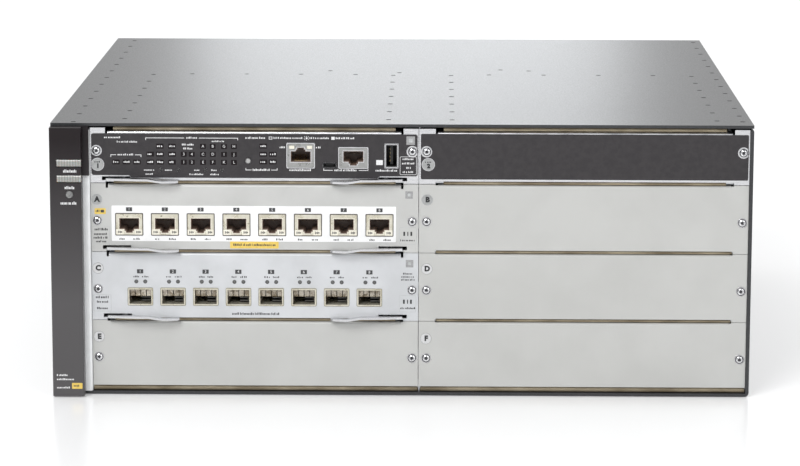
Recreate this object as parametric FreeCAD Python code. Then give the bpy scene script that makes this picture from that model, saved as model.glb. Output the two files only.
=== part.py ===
import FreeCAD, Part
import math
import os

# Modular chassis switch, four rack units high, for a 19 inch rack.
# One STEP file is written for each piece. Lengths are millimetres.
# While it is built, x runs to the right from the middle, y runs back from the
# front edge of the sheet metal and z runs up from the floor. Each piece is moved
# into the part's own frame when it is saved.

V = FreeCAD.Vector
X = V(1, 0, 0)
Y = V(0, 1, 0)
Z = V(0, 0, 1)

# --- Driving dimensions: the case ---------------------------------------------

case_width = 444.5
case_depth = 441.9
sheet = 1.9
sheet_bend = 0.6
hem_width = 2.2
hem_depth = 8.0
left_flange = 22.0
right_flange = 10.0
flange_front_relief = 10.0
flange_rear_relief = 14.0
inner_sheet = 1.2
divider_sheet = 0.8
shelf_sheet = 1.0
backplane_thickness = 2.4
shelf_upturn = 5.0
guide_width = 8.0
guide_front = 12.0
backplane_side_gap = 8.0
backplane_edge_gap = 6.0
bulkhead_flange = 12.0
bulkhead_window = (64.0, 24.0, 27.8)
wall_window = (52.0, 21.0)
wall_window_pitch = 62.0
wall_window_lift = 15.0
tunnel_lead = 4.0

# --- Driving dimensions: the module bays ---------------------------------------

module_width = 207.9
module_side_gap = 0.25
module_depth = 226.0
bay_depth = 230.8
line_height = 41.8
line_gap = 2.5
first_line_bottom = 5.7
line_rows = 3
management_height = 31.7
row_gap = 2.6
top_gap = 4.9
slide_gap = 0.3

# --- Driving dimensions: module fronts -----------------------------------------

plate_recess = 0.8
plate_sheet = 1.2
lip_depth = 9.0
tab_width = 9.5
tab_rise = 0.6
top_tab_rise = 1.9
tab_joint = 0.3
tab_relief = 1.5
tab_relief_depth = 2.4
plate_joint_gap = 0.4
tray_inset = 10.0
tray_wall = 1.0
tray_wall_height = 14.0
tray_wall_front = 17.0
floor_lift = 3.2
board_thickness = 1.6
board_gap = 2.0
post_radius = 2.8
post_side_inset = 12.0
post_front = 60.0
post_rear_inset = 30.0
board_rear_gap = 4.0
plug_width = 64.0
plug_length = 18.0
plug_height = 10.0
screw_inset = 3.9
line_screw_height = 18.5
management_screw_height = 19.0
screw_head_radius = 3.1
screw_head_height = 1.4
screw_radius = 1.75
screw_hole_gap = 0.25
screw_length = 11.0
block_depth = 9.0
block_height = 10.0
block_cover = 0.6

# --- Driving dimensions: ejector levers ----------------------------------------

lever_pivot_inset = 20.7
lever_pivot_back = 5.8
lever_thickness = 1.3
lever_lift = 0.4
lever_hub_radius = 3.2
lever_tail = 10.6
lever_reach = 35.1
lever_arm_depth = 4.5
lever_bow = 2.2
lever_drop = 1.5
lever_nose = 1.5
lever_ramp = (0.45, 0.7)
lever_waist = 4.0
lever_front_gap = 0.5
lever_slot_left = 13.5
lever_slot_right = 4.6
lever_slot_height = 2.4
pin_radius = 1.5
running_clearance = 0.05

# --- Driving dimensions: ports and buttons --------------------------------------

socket_width = 11.7
socket_height = 6.7
socket_depth = 14.5
latch_width = 6.0
latch_height = 2.6
latch_shoulder = 1.5
latch_shoulder_drop = 1.3
jack_depth = 21.0
jack_gap = 0.25
line_jack_width = 17.0
line_jack_height = 13.7
line_board_top = 9.15
port_count = 8
first_jack_centre = 24.2
jack_pitch = 22.72
cage_width = 15.4
cage_height = 10.8
cage_wall = 0.7
cage_depth = 48.0
cage_board_top = 8.1
first_cage_centre = 30.75
cage_pitch = 20.87
cage_lip = 0.6
management_board_top = 8.3
management_jack_centre = 133.3
management_jack_width = 17.4
management_jack_height = 15.8
console_jack_centre = 166.65
console_jack_width = 18.4
console_jack_height = 13.2
console_usb_centre = 151.55
console_usb_width = 7.9
console_usb_height = 2.8
usb_port_centre = 190.8
usb_port_width = 8.0
usb_port_height = 15.0
usb_tongue = 1.9
usb_wall = 0.9
usb_lift = 0.4
usb_depth = 18.0
usb_mouth_depth = 14.0
usb_tongue_front = 5.0
usb_tongue_gap = 2.2
small_usb_wall = 0.4
small_usb_slope = 1.1
small_usb_depth = 6.0
management_board_front = 3.5
mode_button_centre = 100.0
mode_button_height = 12.8
mode_button_radius = 1.7
small_button_centres = (44.5, 55.7, 72.6, 83.6)
small_button_names = ("module_test_button", "clear_button", "shutdown_button", "reset_button")
small_button_height = 7.0
small_button_radius = 0.9
small_button_recess = 0.3
button_travel = 0.8
button_gap = 0.2
button_flange = 0.8
button_flange_thickness = 1.2

# --- Driving dimensions: bezel and lenses ---------------------------------------

bezel_strip = 4.65
bezel_proud = 9.0
bezel_wall = 1.8
bezel_floor_gap = 0.3
bezel_rib_shares = (0.2, 0.43, 0.66, 0.94)
bezel_edge_radius = 0.9
bezel_wing_gap = 0.45
bezel_wing_thickness = 2.5
lens_left = 4.7
lens_height = 4.9
lens_proud = 0.4
lens_flange = 1.2
lens_drops = (24.5, 34.5)
locator_radius = 2.3
locator_sides = 24
locator_drop = 44.4
locator_side = 7.65

# --- Driving dimensions: fans ----------------------------------------------------

fan_size = 80.0
fan_thickness = 17.0
fan_bore_radius = 38.0
bore_sides = 18
fan_tip_gap = 1.2
fan_hub_radius = 15.0
fan_blades = 5
blade_thickness = 1.2
blade_pitch_angle = 38.0
motor_mount = 3.0
motor_gap = 0.4
rotor_end_gap = 1.5
fan_spacing = 84.0
first_fan_front = 30.0
tray_gap = 0.5
tray_sheet = 1.2
tray_window_edge = 16.0
tray_window_lead = 10.0
tray_window_bar = 4.0
tray_strap_length = 70.0
tray_front_lead = 8.0
fan_arm_width = 4.0
blade_end_gap = 0.5
handle_reach = 22.0
handle_thickness = 3.0
handle_width = 12.0
handle_bend = 4.0

# --- Driving dimensions: power supplies ------------------------------------------

supply_width = 150.0
supply_height = 84.0
supply_front_space = 23.1
supply_gap = 0.5
supply_face = 1.6
supply_edge = 1.0
supply_fan_bore = 36.0
supply_fan_depth = 26.0
supply_fan_inset = 42.0
grille_slot = 6.0
grille_bar = 3.5
supply_handle_length = 62.0
supply_handle_inset = 5.0
supply_handle_drop = 16.0
supply_fan_end_gap = 4.0
inlet_side_inset = 26.0
inlet_lift = 20.0
inlet_proud = 0.6
inlet_blade = (2.0, 4.0)
inlet_blade_back = 5.0
inlet_blade_places = ((-7.0, -2.0), (0.0, 2.0), (7.0, -2.0))
inlet_width = 30.0
inlet_height = 24.0
inlet_depth = 22.0
inlet_recess_width = 24.4
inlet_recess_height = 16.6
inlet_recess_depth = 17.0
inlet_corner = 4.5
latch_trunnion = 1.2
latch_hub = 2.8
latch_plate = 9.0
latch_drop = 15.0
latch_sheet = 2.2
latch_side_inset = 58.0
latch_stand_off = 4.0
latch_lift = 46.0
latch_kick = 5.0
lug_gap = 0.3
lug_width = 3.0

# --- Vents, gaskets and fixing holes ----------------------------------------------

vent_width = 16.0
vent_bridge = 8.0
vent_pitch_y = 26.0
vent_columns = 6
vent_rows = 3
first_vent_y = 66.0
first_vent_z = 24.0
gasket_depth = 1.4
gasket_bevel = 0.5
gasket_end_inset = 15.5
bracket_hole_radius = 2.1
bracket_hole_front = 18.0
bracket_spacing_y = 32.0
bracket_spacing_z = 76.0

# --- Places worked out from the sizes ----------------------------------------------

front_reach = bezel_proud + lens_proud
overall_depth = front_reach + case_depth + handle_reach
sheet_front = front_reach - overall_depth / 2
line_pitch = line_height + line_gap
row_bottoms = [first_line_bottom + row * line_pitch for row in range(line_rows)]
slot_e_bottom, slot_c_bottom, slot_a_bottom = row_bottoms
management_bottom = slot_a_bottom + line_height + row_gap
all_bottoms = row_bottoms + [management_bottom]
case_height = management_bottom + management_height + top_gap
half_width = case_width / 2
inner_half = half_width - sheet
cover_under = case_height - sheet
flange_under = case_height - 2 * sheet
panel_inner = case_depth - sheet

bay_width = module_width + 2 * module_side_gap
right_bay = half_width - hem_width - bay_width
divider_left = right_bay - divider_sheet
left_bay = divider_left - bay_width
fan_wall_left = left_bay - inner_sheet
left_module = left_bay + module_side_gap
right_module = right_bay + module_side_gap
bays = (left_bay, right_bay)

plate_back = plate_recess + plate_sheet
plate_cover = 2 * module_side_gap + divider_sheet - plate_joint_gap
tab_drop = line_gap - tab_rise - tab_joint
block_front = plate_back + slide_gap
bulkhead_front = bay_depth

bezel_width = half_width + left_bay - bezel_strip
bezel_wing_bottom = management_bottom + 3.3
lens_heights = [case_height - drop for drop in lens_drops]
lens_width = bezel_width - lens_left
lens_inset = (bezel_width + lens_left) / 2
locator_height = case_height - locator_drop
locator_inset = bezel_width - locator_side

bracket_centre_z = round(case_height / 2)
fan_tray_left = tray_gap - inner_half
fan_tray_right = fan_wall_left - tray_gap
fan_tray_top = flange_under - tray_gap
rotor_length = fan_thickness - motor_mount - motor_gap - rotor_end_gap
supply_depth = case_depth - bulkhead_front - supply_front_space
supply_bottom = sheet + slide_gap
supply_top = supply_bottom + supply_height
supply_centres = (left_bay + bay_width / 2, right_bay + bay_width / 2)
supply_rotor_length = supply_fan_depth - supply_fan_end_gap
supply_handle_offset = (supply_width - supply_handle_length) / 2 - supply_handle_inset


# --- Helpers --------------------------------------------------------------------

def box(x0, x1, y0, y1, z0, z1):
    """A block between two opposite corners."""
    return Part.makeBox(x1 - x0, y1 - y0, z1 - z0, V(x0, y0, z0))


def rod(radius, start, axis, length):
    """A round bar from a point along an axis."""
    return Part.makeCylinder(radius, length, start, axis)


def faceted_rod(radius, start, axis, length, sides=12):
    """A small bar with flat sides whose corners lie on the radius."""
    across = Z if abs(axis.z) < 0.5 else X
    beside = axis.cross(across)
    corners = []
    for index in range(sides):
        angle = 2 * math.pi * index / sides
        corners.append(start + across * (radius * math.cos(angle)) + beside * (radius * math.sin(angle)))
    return prism(corners, axis * length)


def faceted_hole(radius, start, axis, length, sides=12):
    """A tool for a many-sided hole whose flats lie on the radius."""
    return faceted_rod(radius / math.cos(math.pi / sides), start, axis, length, sides)


def prism(points, sweep):
    """A straight-edged outline pushed along a vector."""
    outline = Part.makePolygon(list(points) + [points[0]])
    return Part.Face(outline).extrude(sweep)


def rounded_run(points, radii):
    """Edges along a run of points, with an arc at each corner whose radius isn't 0."""
    edges = []
    start = points[0]
    for before, corner, after, radius in zip(points, points[1:], points[2:], radii):
        if radius == 0:
            edges.append(Part.makeLine(start, corner))
            start = corner
            continue
        back = (before - corner).normalize()
        ahead = (after - corner).normalize()
        half_angle = back.getAngle(ahead) / 2
        reach = radius / math.tan(half_angle)
        first = corner + back * reach
        last = corner + ahead * reach
        inward = (back + ahead).normalize()
        middle = corner + inward * (radius / math.sin(half_angle) - radius)
        edges.append(Part.makeLine(start, first))
        edges.append(Part.Arc(first, middle, last).toShape())
        start = last
    edges.append(Part.makeLine(start, points[-1]))
    return edges


def folded_sheet(path, thickness, bend, sweep):
    """A sheet folded along its middle line and pushed along sweep.

    bend is the inside radius of each fold, and 0 gives the plain sharp fold of a hidden sheet.
    """
    normal = V(sweep).normalize()
    runs = [(end - start).normalize() for start, end in zip(path, path[1:])]
    sides = [normal.cross(run) for run in runs]
    edges = []
    for sign in (1, -1):
        offset = sign * thickness / 2
        points = [path[0] + sides[0] * offset]
        radii = []
        for index, corner in enumerate(path[1:-1]):
            side = sides[index]
            bisector = (side + sides[index + 1]).normalize()
            points.append(corner + bisector * (offset / bisector.dot(side)))
            inside = side.dot(runs[index + 1]) * sign > 0
            radii.append(bend if inside or bend == 0 else bend + thickness)
        points.append(path[-1] + sides[-1] * offset)
        edges.extend(rounded_run(points, radii))
    for end, side in ((path[0], sides[0]), (path[-1], sides[-1])):
        edges.append(Part.makeLine(end + side * (thickness / 2), end - side * (thickness / 2)))
    outline = Part.Wire(Part.__sortEdges__(edges))
    return Part.Face(outline).extrude(sweep)


def join(pieces):
    """Touching or overlapping pieces made into one, with no seams left."""
    return pieces[0].fuse(pieces[1:]).removeSplitter()


def mirrored(shape, x):
    """The other hand of a shape, across the upright plane at x."""
    return shape.mirror(V(x, 0, 0), X)


def save(name, *pieces):
    """Write one node: its solids, moved into the part's own frame."""
    solids = []
    for piece in pieces:
        placed = piece.copy()
        placed.translate(V(0, sheet_front, 0))
        solids.extend(placed.Solids)
    shape = solids[0] if len(solids) == 1 else Part.makeCompound(solids)
    shape.exportStep(f"parts/{name}.step")


# --- The case ---------------------------------------------------------------------

def base_pan():
    """Floor and two sides folded from one sheet, with vents and bracket holes."""
    half = sheet / 2
    low = half
    high = flange_under + half
    path = [V(left_flange - half_width, 0, high), V(half - half_width, 0, high),
            V(half - half_width, 0, low), V(half_width - half, 0, low),
            V(half_width - half, 0, high), V(half_width - right_flange, 0, high)]
    pan = folded_sheet(path, sheet, sheet_bend, Y * case_depth)
    reliefs = [box(-inner_half, inner_half, -1, flange_front_relief, flange_under - 1, case_height),
               box(-inner_half, inner_half, case_depth - flange_rear_relief, case_depth + 1,
                   flange_under - 1, case_height)]
    pan = pan.cut(reliefs)
    hem_inner = half_width - hem_width
    hem = box(hem_inner, half_width - half, 0, hem_depth, half, flange_under)
    pan = join([pan, hem, mirrored(hem, 0)])
    holes = []
    vent_pitch_z = (case_height - 2 * first_vent_z + vent_bridge) / vent_rows
    vent_length = vent_pitch_z - vent_bridge
    for column in range(vent_columns):
        for row in range(vent_rows):
            y = first_vent_y + column * vent_pitch_y
            z = first_vent_z + row * vent_pitch_z
            holes.append(box(inner_half - 1, half_width + 1, y, y + vent_width, z, z + vent_length))
    for y in (bracket_hole_front, bracket_hole_front + bracket_spacing_y):
        for side in (-1, 1):
            z = bracket_centre_z + side * bracket_spacing_z / 2
            holes.append(rod(bracket_hole_radius, V(inner_half - 1, y, z), X, sheet + 2))
    return pan.cut(holes + [mirrored(hole, 0) for hole in holes])


def top_cover():
    """Flat top sheet that lies on the side flanges."""
    return box(-half_width, half_width, 0, case_depth, cover_under, case_height)


def rear_panel():
    """Back sheet, folded forward under the cover, open for the fan tray and supplies."""
    half = sheet / 2
    left = sheet_bend - inner_half
    path = [V(left, case_depth - half, sheet),
            V(left, case_depth - half, cover_under - half),
            V(left, case_depth - flange_rear_relief, cover_under - half)]
    panel = folded_sheet(path, sheet, sheet_bend, X * (-2 * left))
    openings = [box(fan_tray_left - tray_gap, fan_tray_right + tray_gap, panel_inner - 1,
                    case_depth + 1, sheet - 1, fan_tray_top + tray_gap)]
    for centre in supply_centres:
        openings.append(box(centre - supply_width / 2 - supply_gap, centre + supply_width / 2 + supply_gap,
                            panel_inner - 1, case_depth + 1, sheet - 1, supply_top + supply_gap))
    return panel.cut(openings)


def fan_bay_wall():
    """Inner wall beside the fans, folded across the front of the fan bay."""
    half = inner_sheet / 2
    middle = fan_wall_left + half
    path = [V(hem_width - half_width, half, sheet), V(middle, half, sheet), V(middle, panel_inner, sheet)]
    wall = folded_sheet(path, inner_sheet, sheet_bend, Z * (flange_under - sheet_bend - sheet))
    windows = []
    for bottom in row_bottoms:
        for column in range(3):
            y = first_fan_front + column * wall_window_pitch
            z = bottom + wall_window_lift
            windows.append(box(fan_wall_left - 1, left_bay + 1, y, y + wall_window[0], z, z + wall_window[1]))
    return wall.cut(windows)


def centre_divider():
    """Upright sheet between the two module columns."""
    back = bulkhead_front - backplane_thickness
    return box(divider_left, right_bay, plate_back + 1, back, sheet, cover_under)


def slot_shelves():
    """One folded shelf under each slot, and a guide rail over each top slot."""
    shelves = []
    half = shelf_sheet / 2
    for bay in bays:
        for bottom in all_bottoms:
            level = bottom - slide_gap - half
            upturn = level + shelf_upturn
            left = bay + half
            right = bay + bay_width - half
            path = [V(left, plate_back + 1, upturn), V(left, plate_back + 1, level),
                    V(right, plate_back + 1, level), V(right, plate_back + 1, upturn)]
            depth = bulkhead_front - backplane_thickness - plate_back - 1
            shelves.append(folded_sheet(path, shelf_sheet, 0, Y * depth))
        for end in (bay + lever_pivot_inset, bay + bay_width - lever_pivot_inset):
            rail_left = end - guide_width / 2
            rail_right = end + guide_width / 2
            top = cover_under - half
            low = management_bottom + management_height + slide_gap
            path = [V(rail_left, guide_front, low), V(rail_left, guide_front, top),
                    V(rail_right, guide_front, top), V(rail_right, guide_front, low)]
            rail_depth = bulkhead_front - backplane_thickness - guide_front
            shelves.append(folded_sheet(path, shelf_sheet, 0, Y * rail_depth))
    return shelves


def screw_blocks():
    """Tapped blocks on the bay walls, one behind each module screw."""
    blocks = []
    for bay in bays:
        for bottom in all_bottoms:
            height = screw_height(bottom)
            reach = module_side_gap + 2 * screw_inset + block_cover
            block = box(bay, bay + reach, block_front, block_front + block_depth,
                        height - block_height / 2, height + block_height / 2)
            centre = bay + module_side_gap + screw_inset
            hole = faceted_hole(screw_radius + screw_hole_gap, V(centre, block_front - 1, height),
                                Y, block_depth + 2, 6)
            block = block.cut(hole)
            blocks.append(block)
            blocks.append(mirrored(block, bay + bay_width / 2))
    return blocks


def rear_bulkhead():
    """Cross wall behind the modules, flanged to the rear at top and bottom."""
    half = inner_sheet / 2
    back = bulkhead_front + bulkhead_flange
    low = sheet + half
    high = cover_under - half
    path = [V(left_bay, back, low), V(left_bay, bulkhead_front + half, low),
            V(left_bay, bulkhead_front + half, high), V(left_bay, back, high)]
    wall = folded_sheet(path, inner_sheet, 0, X * (inner_half - sheet_bend - left_bay))
    corner = box(half_width - right_flange - slide_gap, half_width, bulkhead_front - 1, back + 1,
                 flange_under - slide_gap, case_height)
    cuts = [corner]
    width, height, lift = bulkhead_window
    low = sheet + lift + slide_gap
    for centre in supply_centres:
        cuts.append(box(centre - width / 2, centre + width / 2, bulkhead_front - 1,
                        bulkhead_front + inner_sheet + 1, low, low + height))
    return wall.cut(cuts)


def backplane():
    """Board across the back of the bays that the modules plug into."""
    return box(left_bay + backplane_side_gap, inner_half - backplane_side_gap,
               bulkhead_front - backplane_thickness, bulkhead_front,
               sheet + backplane_edge_gap, cover_under - backplane_edge_gap)


def supply_tunnels():
    """A folded sheet tunnel round each power supply."""
    tunnels = []
    half = inner_sheet / 2
    front = case_depth - supply_depth - tunnel_lead
    for centre in supply_centres:
        left = centre - supply_width / 2 - supply_gap - half
        right = centre + supply_width / 2 + supply_gap + half
        top = supply_top + supply_gap + half
        path = [V(left, front, sheet), V(left, front, top), V(right, front, top), V(right, front, sheet)]
        tunnels.append(folded_sheet(path, inner_sheet, 0, Y * (panel_inner - front)))
    return tunnels


# --- Bezel and gaskets ---------------------------------------------------------------

def front_bezel():
    """Moulded cover over the fan bay: hollow behind, with windows for its lenses."""
    left = -half_width
    right = left + bezel_width
    low = bezel_floor_gap
    run = [V(left, 0, low), V(left, -bezel_proud, low), V(right, -bezel_proud, low), V(right, 0, low)]
    outline = rounded_run(run, [bezel_edge_radius, bezel_edge_radius])
    outline.append(Part.makeLine(run[-1], run[0]))
    shell = Part.Face(Part.Wire(outline)).extrude(Z * (cover_under - low))
    wing = box(right - bezel_edge_radius, left_bay - bezel_wing_gap, -bezel_wing_thickness, 0,
               bezel_wing_bottom, cover_under)
    hollow = box(left + bezel_wall, right - bezel_wall, bezel_wall - bezel_proud, 1,
                 low + bezel_wall, cover_under - bezel_wall)
    body = join([shell, wing]).cut(hollow)
    ribs = []
    for share in bezel_rib_shares:
        z = case_height * share
        ribs.append(box(left + bezel_wall, right - bezel_wall, bezel_wall - bezel_proud, 0,
                        z, z + bezel_wall))
    body = join([body] + ribs)
    x = left + lens_inset
    windows = [box(x - lens_width / 2, x + lens_width / 2, -bezel_proud - 1, bezel_wall - bezel_proud + 0.1,
                   z - lens_height / 2, z + lens_height / 2) for z in lens_heights]
    centre = V(left + locator_inset, -bezel_proud - 1, locator_height)
    windows.append(faceted_hole(locator_radius + jack_gap, centre, Y, bezel_wall + 1.1, locator_sides))
    return body.cut(windows)


def status_lenses():
    """Two bar lenses and a round one, each held by a flange inside the bezel."""
    lenses = []
    x = lens_inset - half_width
    inner_face = bezel_wall - bezel_proud
    front = -bezel_proud - lens_proud
    for z in lens_heights:
        bar = box(x - lens_width / 2, x + lens_width / 2, front, inner_face,
                  z - lens_height / 2, z + lens_height / 2)
        right = min(x + lens_width / 2, bezel_width - half_width - bezel_wall)
        flange = box(x - lens_width / 2, right, inner_face, inner_face + lens_flange,
                     z - lens_height / 2 - lens_flange, z + lens_height / 2 + lens_flange)
        lenses.append(join([bar, flange]))
    centre = V(locator_inset - half_width, front, locator_height)
    stem = faceted_rod(locator_radius, centre, Y, inner_face - front, locator_sides)
    head = faceted_rod(locator_radius + lens_flange, centre + Y * (inner_face - front), Y, lens_flange)
    lenses.append(join([stem, head]))
    return lenses


def emi_gaskets():
    """Conductive strips that fill the gaps above and below the module fronts."""
    strips = []
    for bay in bays:
        left = bay + gasket_end_inset
        right = bay + bay_width - gasket_end_inset
        spans = [(sheet, first_line_bottom - slide_gap)]
        for below, above in zip(all_bottoms, all_bottoms[1:]):
            spans.append((below + line_height + slide_gap, above - slide_gap))
        spans.append((management_bottom + management_height + slide_gap, cover_under))
        for low, high in spans:
            back = plate_back + 1
            nose = back - gasket_depth
            section = [V(left, back, low), V(left, nose + gasket_bevel, low),
                       V(left, nose, low + gasket_bevel), V(left, nose, high - gasket_bevel),
                       V(left, nose + gasket_bevel, high),
                       V(left, back, high)]
            strips.append(prism(section, X * (right - left)))
    return strips


# --- Module fronts ---------------------------------------------------------------------

def screw_height(bottom):
    """Height of a module's screws: the management row has its own."""
    if bottom == management_bottom:
        return bottom + management_screw_height
    return bottom + line_screw_height


def screw_places(left, bottom):
    """Both screw centres of the module whose left edge and bottom are given."""
    height = screw_height(bottom)
    return [V(left + screw_inset, plate_recess, height),
            V(left + module_width - screw_inset, plate_recess, height)]


def front_plate(left, bottom, height, bottom_lip):
    """Faceplate with its top edge folded back between two upright corner tabs.

    A plate of the right column also covers the centre divider, so that both columns meet.
    """
    right = left + module_width
    near = left - plate_cover if left == right_module else left
    top = bottom + height
    half = plate_sheet / 2
    middle = plate_recess + half
    shoulder = tab_width + tab_relief
    tab_top = top + (top_tab_rise if bottom == management_bottom else tab_rise)
    tab_bottom = bottom if bottom == first_line_bottom else bottom - tab_drop
    path = [V(left + shoulder, middle, bottom), V(left + shoulder, middle, top - half),
            V(left + shoulder, plate_recess + lip_depth, top - half)]
    fold = folded_sheet(path, plate_sheet, sheet_bend, X * (module_width - 2 * shoulder))
    web = box(near, right, plate_recess, plate_back, bottom, top - tab_relief_depth)
    tabs = [box(x0, x1, plate_recess, plate_back, tab_bottom, tab_top)
            for x0, x1 in ((near, left + tab_width), (right - tab_width, right))]
    pieces = [web, fold] + tabs
    if bottom_lip:
        path = [V(left + shoulder, middle, top - tab_relief_depth), V(left + shoulder, middle, bottom + half),
                V(left + shoulder, plate_recess + lip_depth, bottom + half)]
        lip = folded_sheet(path, plate_sheet, 0, X * (module_width - 2 * shoulder))
        below = box(left + shoulder, right - shoulder, plate_recess - 1, plate_back + 1,
                    bottom - 1, bottom + plate_sheet + sheet_bend)
        pieces = [web.cut(below), fold.cut(below), lip] + tabs
    plate = join(pieces)
    holes = [faceted_hole(screw_radius + screw_hole_gap, place - Y, Y, plate_sheet + 2, 8)
             for place in screw_places(left, bottom)]
    return plate.cut(holes)


def captive_screws(left, bottom):
    """The two screws of a module: round head outside, shank into the tapped block."""
    screws = []
    for place in screw_places(left, bottom):
        head = faceted_rod(screw_head_radius, place - Y * screw_head_height, Y, screw_head_height)
        shank = faceted_rod(screw_radius, place, Y, screw_length, 6)
        screws.append(join([head, shank]))
    return screws


def lever_pivots(left):
    """x of the left and right lever pivots of a module."""
    return left + lever_pivot_inset, left + module_width - lever_pivot_inset


def module_carrier(left, bottom, height, board_top, cutouts):
    """Sheet carrier: faceplate, raised floor, side runners, board posts and lever pins."""
    plate = front_plate(left, bottom, height, False)
    tray_left = left + tray_inset
    tray_right = left + module_width - tray_inset
    floor_low = bottom + floor_lift
    floor = box(tray_left, tray_right, plate_back - 0.1, module_depth, floor_low, floor_low + tray_wall)
    runner = box(tray_left, tray_left + tray_wall, tray_wall_front, module_depth,
                 bottom, bottom + tray_wall_height)
    pieces = [plate, floor, runner, mirrored(runner, left + module_width / 2)]
    post_height = board_top - board_thickness - floor_lift - tray_wall
    for x in (tray_left + post_side_inset, tray_right - post_side_inset):
        for y in (post_front, module_depth - post_rear_inset):
            pieces.append(faceted_rod(post_radius, V(x, y, floor_low + tray_wall), Z, post_height, 6))
    carrier = join(pieces)
    left_pivot, right_pivot = lever_pivots(left)
    slot = box(left_pivot - lever_slot_left, left_pivot + lever_slot_right, plate_recess - 1,
               plate_back + 0.1, bottom, bottom + lever_slot_height)
    clearances = [slot, mirrored(slot, left + module_width / 2)]
    carrier = carrier.cut(clearances + cutouts)
    pins = [faceted_rod(pin_radius, V(x, lever_pivot_back, bottom + lever_lift / 2), Z,
                        floor_lift - lever_lift / 2) for x in (left_pivot, right_pivot)]
    return join([carrier] + pins)


def module_board(left, bottom, board_top, front):
    """Circuit board with its rear connector."""
    board_left = left + tray_inset + tray_wall + board_gap
    board_right = left + module_width - tray_inset - tray_wall - board_gap
    top = bottom + board_top
    board = box(board_left, board_right, front, module_depth - board_rear_gap, top - board_thickness, top)
    middle = left + module_width / 2
    plug = box(middle - plug_width / 2, middle + plug_width / 2, module_depth - plug_length,
               bulkhead_front - backplane_thickness - slide_gap, top, top + plug_height)
    return join([board, plug])


def ejector_lever():
    """Left lever about its pivot: arm along +x in front of the plate, underside at z = 0."""
    back = plate_recess - lever_front_gap - lever_pivot_back
    front = back - lever_arm_depth
    centre = (lever_reach - lever_tail) / 2
    front_arc = Part.Arc(V(-lever_tail, front + 1, 0), V(centre, front - lever_bow, 0),
                         V(lever_reach - lever_nose, front, 0)).toShape()
    nose = [V(lever_reach - lever_nose, front, 0), V(lever_reach, front + lever_nose, 0),
            V(lever_reach, back - lever_nose, 0), V(lever_reach - lever_nose, back, 0)]
    back_arc = Part.Arc(V(lever_reach - lever_nose, back, 0), V(centre + lever_waist, back - lever_bow, 0),
                        V(lever_hub_radius, back, 0)).toShape()
    heel = Part.makeLine(V(lever_hub_radius, back, 0), V(-lever_tail, back, 0))
    end = Part.makeLine(V(-lever_tail, back, 0), V(-lever_tail, front + 1, 0))
    tip = rounded_run(nose, [0, 0])
    plan = Part.Face(Part.Wire([front_arc] + tip + [back_arc, heel, end]))
    plan_block = plan.extrude(Z * 10)
    plan_block.translate(Z * -5)
    ramp_start, ramp_end = [lever_reach * share for share in lever_ramp]
    thick = lever_thickness
    side = [V(-lever_tail, 0, 0), V(ramp_start, 0, 0), V(ramp_end, 0, -lever_drop),
            V(lever_reach, 0, -lever_drop), V(lever_reach, 0, thick - lever_drop),
            V(ramp_end, 0, thick - lever_drop), V(ramp_start, 0, thick), V(-lever_tail, 0, thick)]
    side = [point + Y * (front - lever_bow - 1) for point in side]
    arm = prism(side, Y * (lever_arm_depth + lever_bow + 2)).common(plan_block)
    hub = faceted_rod(lever_hub_radius, V(0, 0, 0), Z, thick)
    neck = box(-lever_hub_radius, lever_hub_radius, back - 1, 0, 0, thick)
    lever = join([arm, hub, neck])
    return lever.cut(faceted_hole(pin_radius + running_clearance, V(0, 0, -1), Z, thick + 2))


def place_levers(left, bottom):
    """Left and right lever of one module."""
    left_pivot, right_pivot = lever_pivots(left)
    lever = ejector_lever()
    other = mirrored(lever, 0)
    lever.translate(V(left_pivot, lever_pivot_back, bottom + lever_lift))
    other.translate(V(right_pivot, lever_pivot_back, bottom + lever_lift))
    return lever, other


# --- Ports ---------------------------------------------------------------------------------

def wire_jack(centre, low, width, height, latch_up):
    """Shielded eight-wire jack with its stepped socket and latch notch."""
    body = box(centre - width / 2, centre + width / 2, plate_recess - 0.1, plate_recess + jack_depth,
               low, low + height)
    total = socket_height + latch_height
    base = low + (height - total) / 2
    shoulder = latch_width / 2 + latch_shoulder
    drop = latch_height - latch_shoulder_drop
    steps = [(-socket_width / 2, latch_height), (-shoulder, latch_height), (-latch_width / 2, drop),
             (-latch_width / 2, 0), (latch_width / 2, 0), (latch_width / 2, drop),
             (shoulder, latch_height), (socket_width / 2, latch_height),
             (socket_width / 2, total), (-socket_width / 2, total)]
    if latch_up:
        steps = [(x, total - z) for x, z in steps]
    outline = [V(centre + x, plate_recess - 1, base + z) for x, z in steps]
    return body.cut(prism(outline, Y * (socket_depth + 1)))


def module_cage(centre, low):
    """Folded cage for one optical module, with a rim round its mouth."""
    half = cage_width / 2
    body = box(centre - half, centre + half, plate_recess - cage_lip, plate_recess + cage_depth,
               low, low + cage_height)
    mouth = box(centre - half + cage_wall, centre + half - cage_wall, plate_recess - 2,
                plate_recess + cage_depth - 2, low + cage_wall, low + cage_height - cage_wall)
    return body.cut(mouth)


def opening(centre, low, width, height):
    """Cut-out in a faceplate with the jack gap all round."""
    return box(centre - width / 2 - jack_gap, centre + width / 2 + jack_gap, plate_recess - 1,
               plate_back + 0.05, low - jack_gap, low + height + jack_gap)


def button(centre, height, radius, recess):
    """Push button: round stem through the plate, wider flange behind it."""
    front = plate_recess + recess
    stem = faceted_rod(radius, V(centre, front, height), Y, plate_back + 1 - front)
    flange = faceted_rod(radius + button_flange, V(centre, plate_back + button_gap, height), Y,
                          button_flange_thickness)
    return join([stem, flange])


# --- Module A: eight wire jacks -----------------------------------------------------------------

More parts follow.
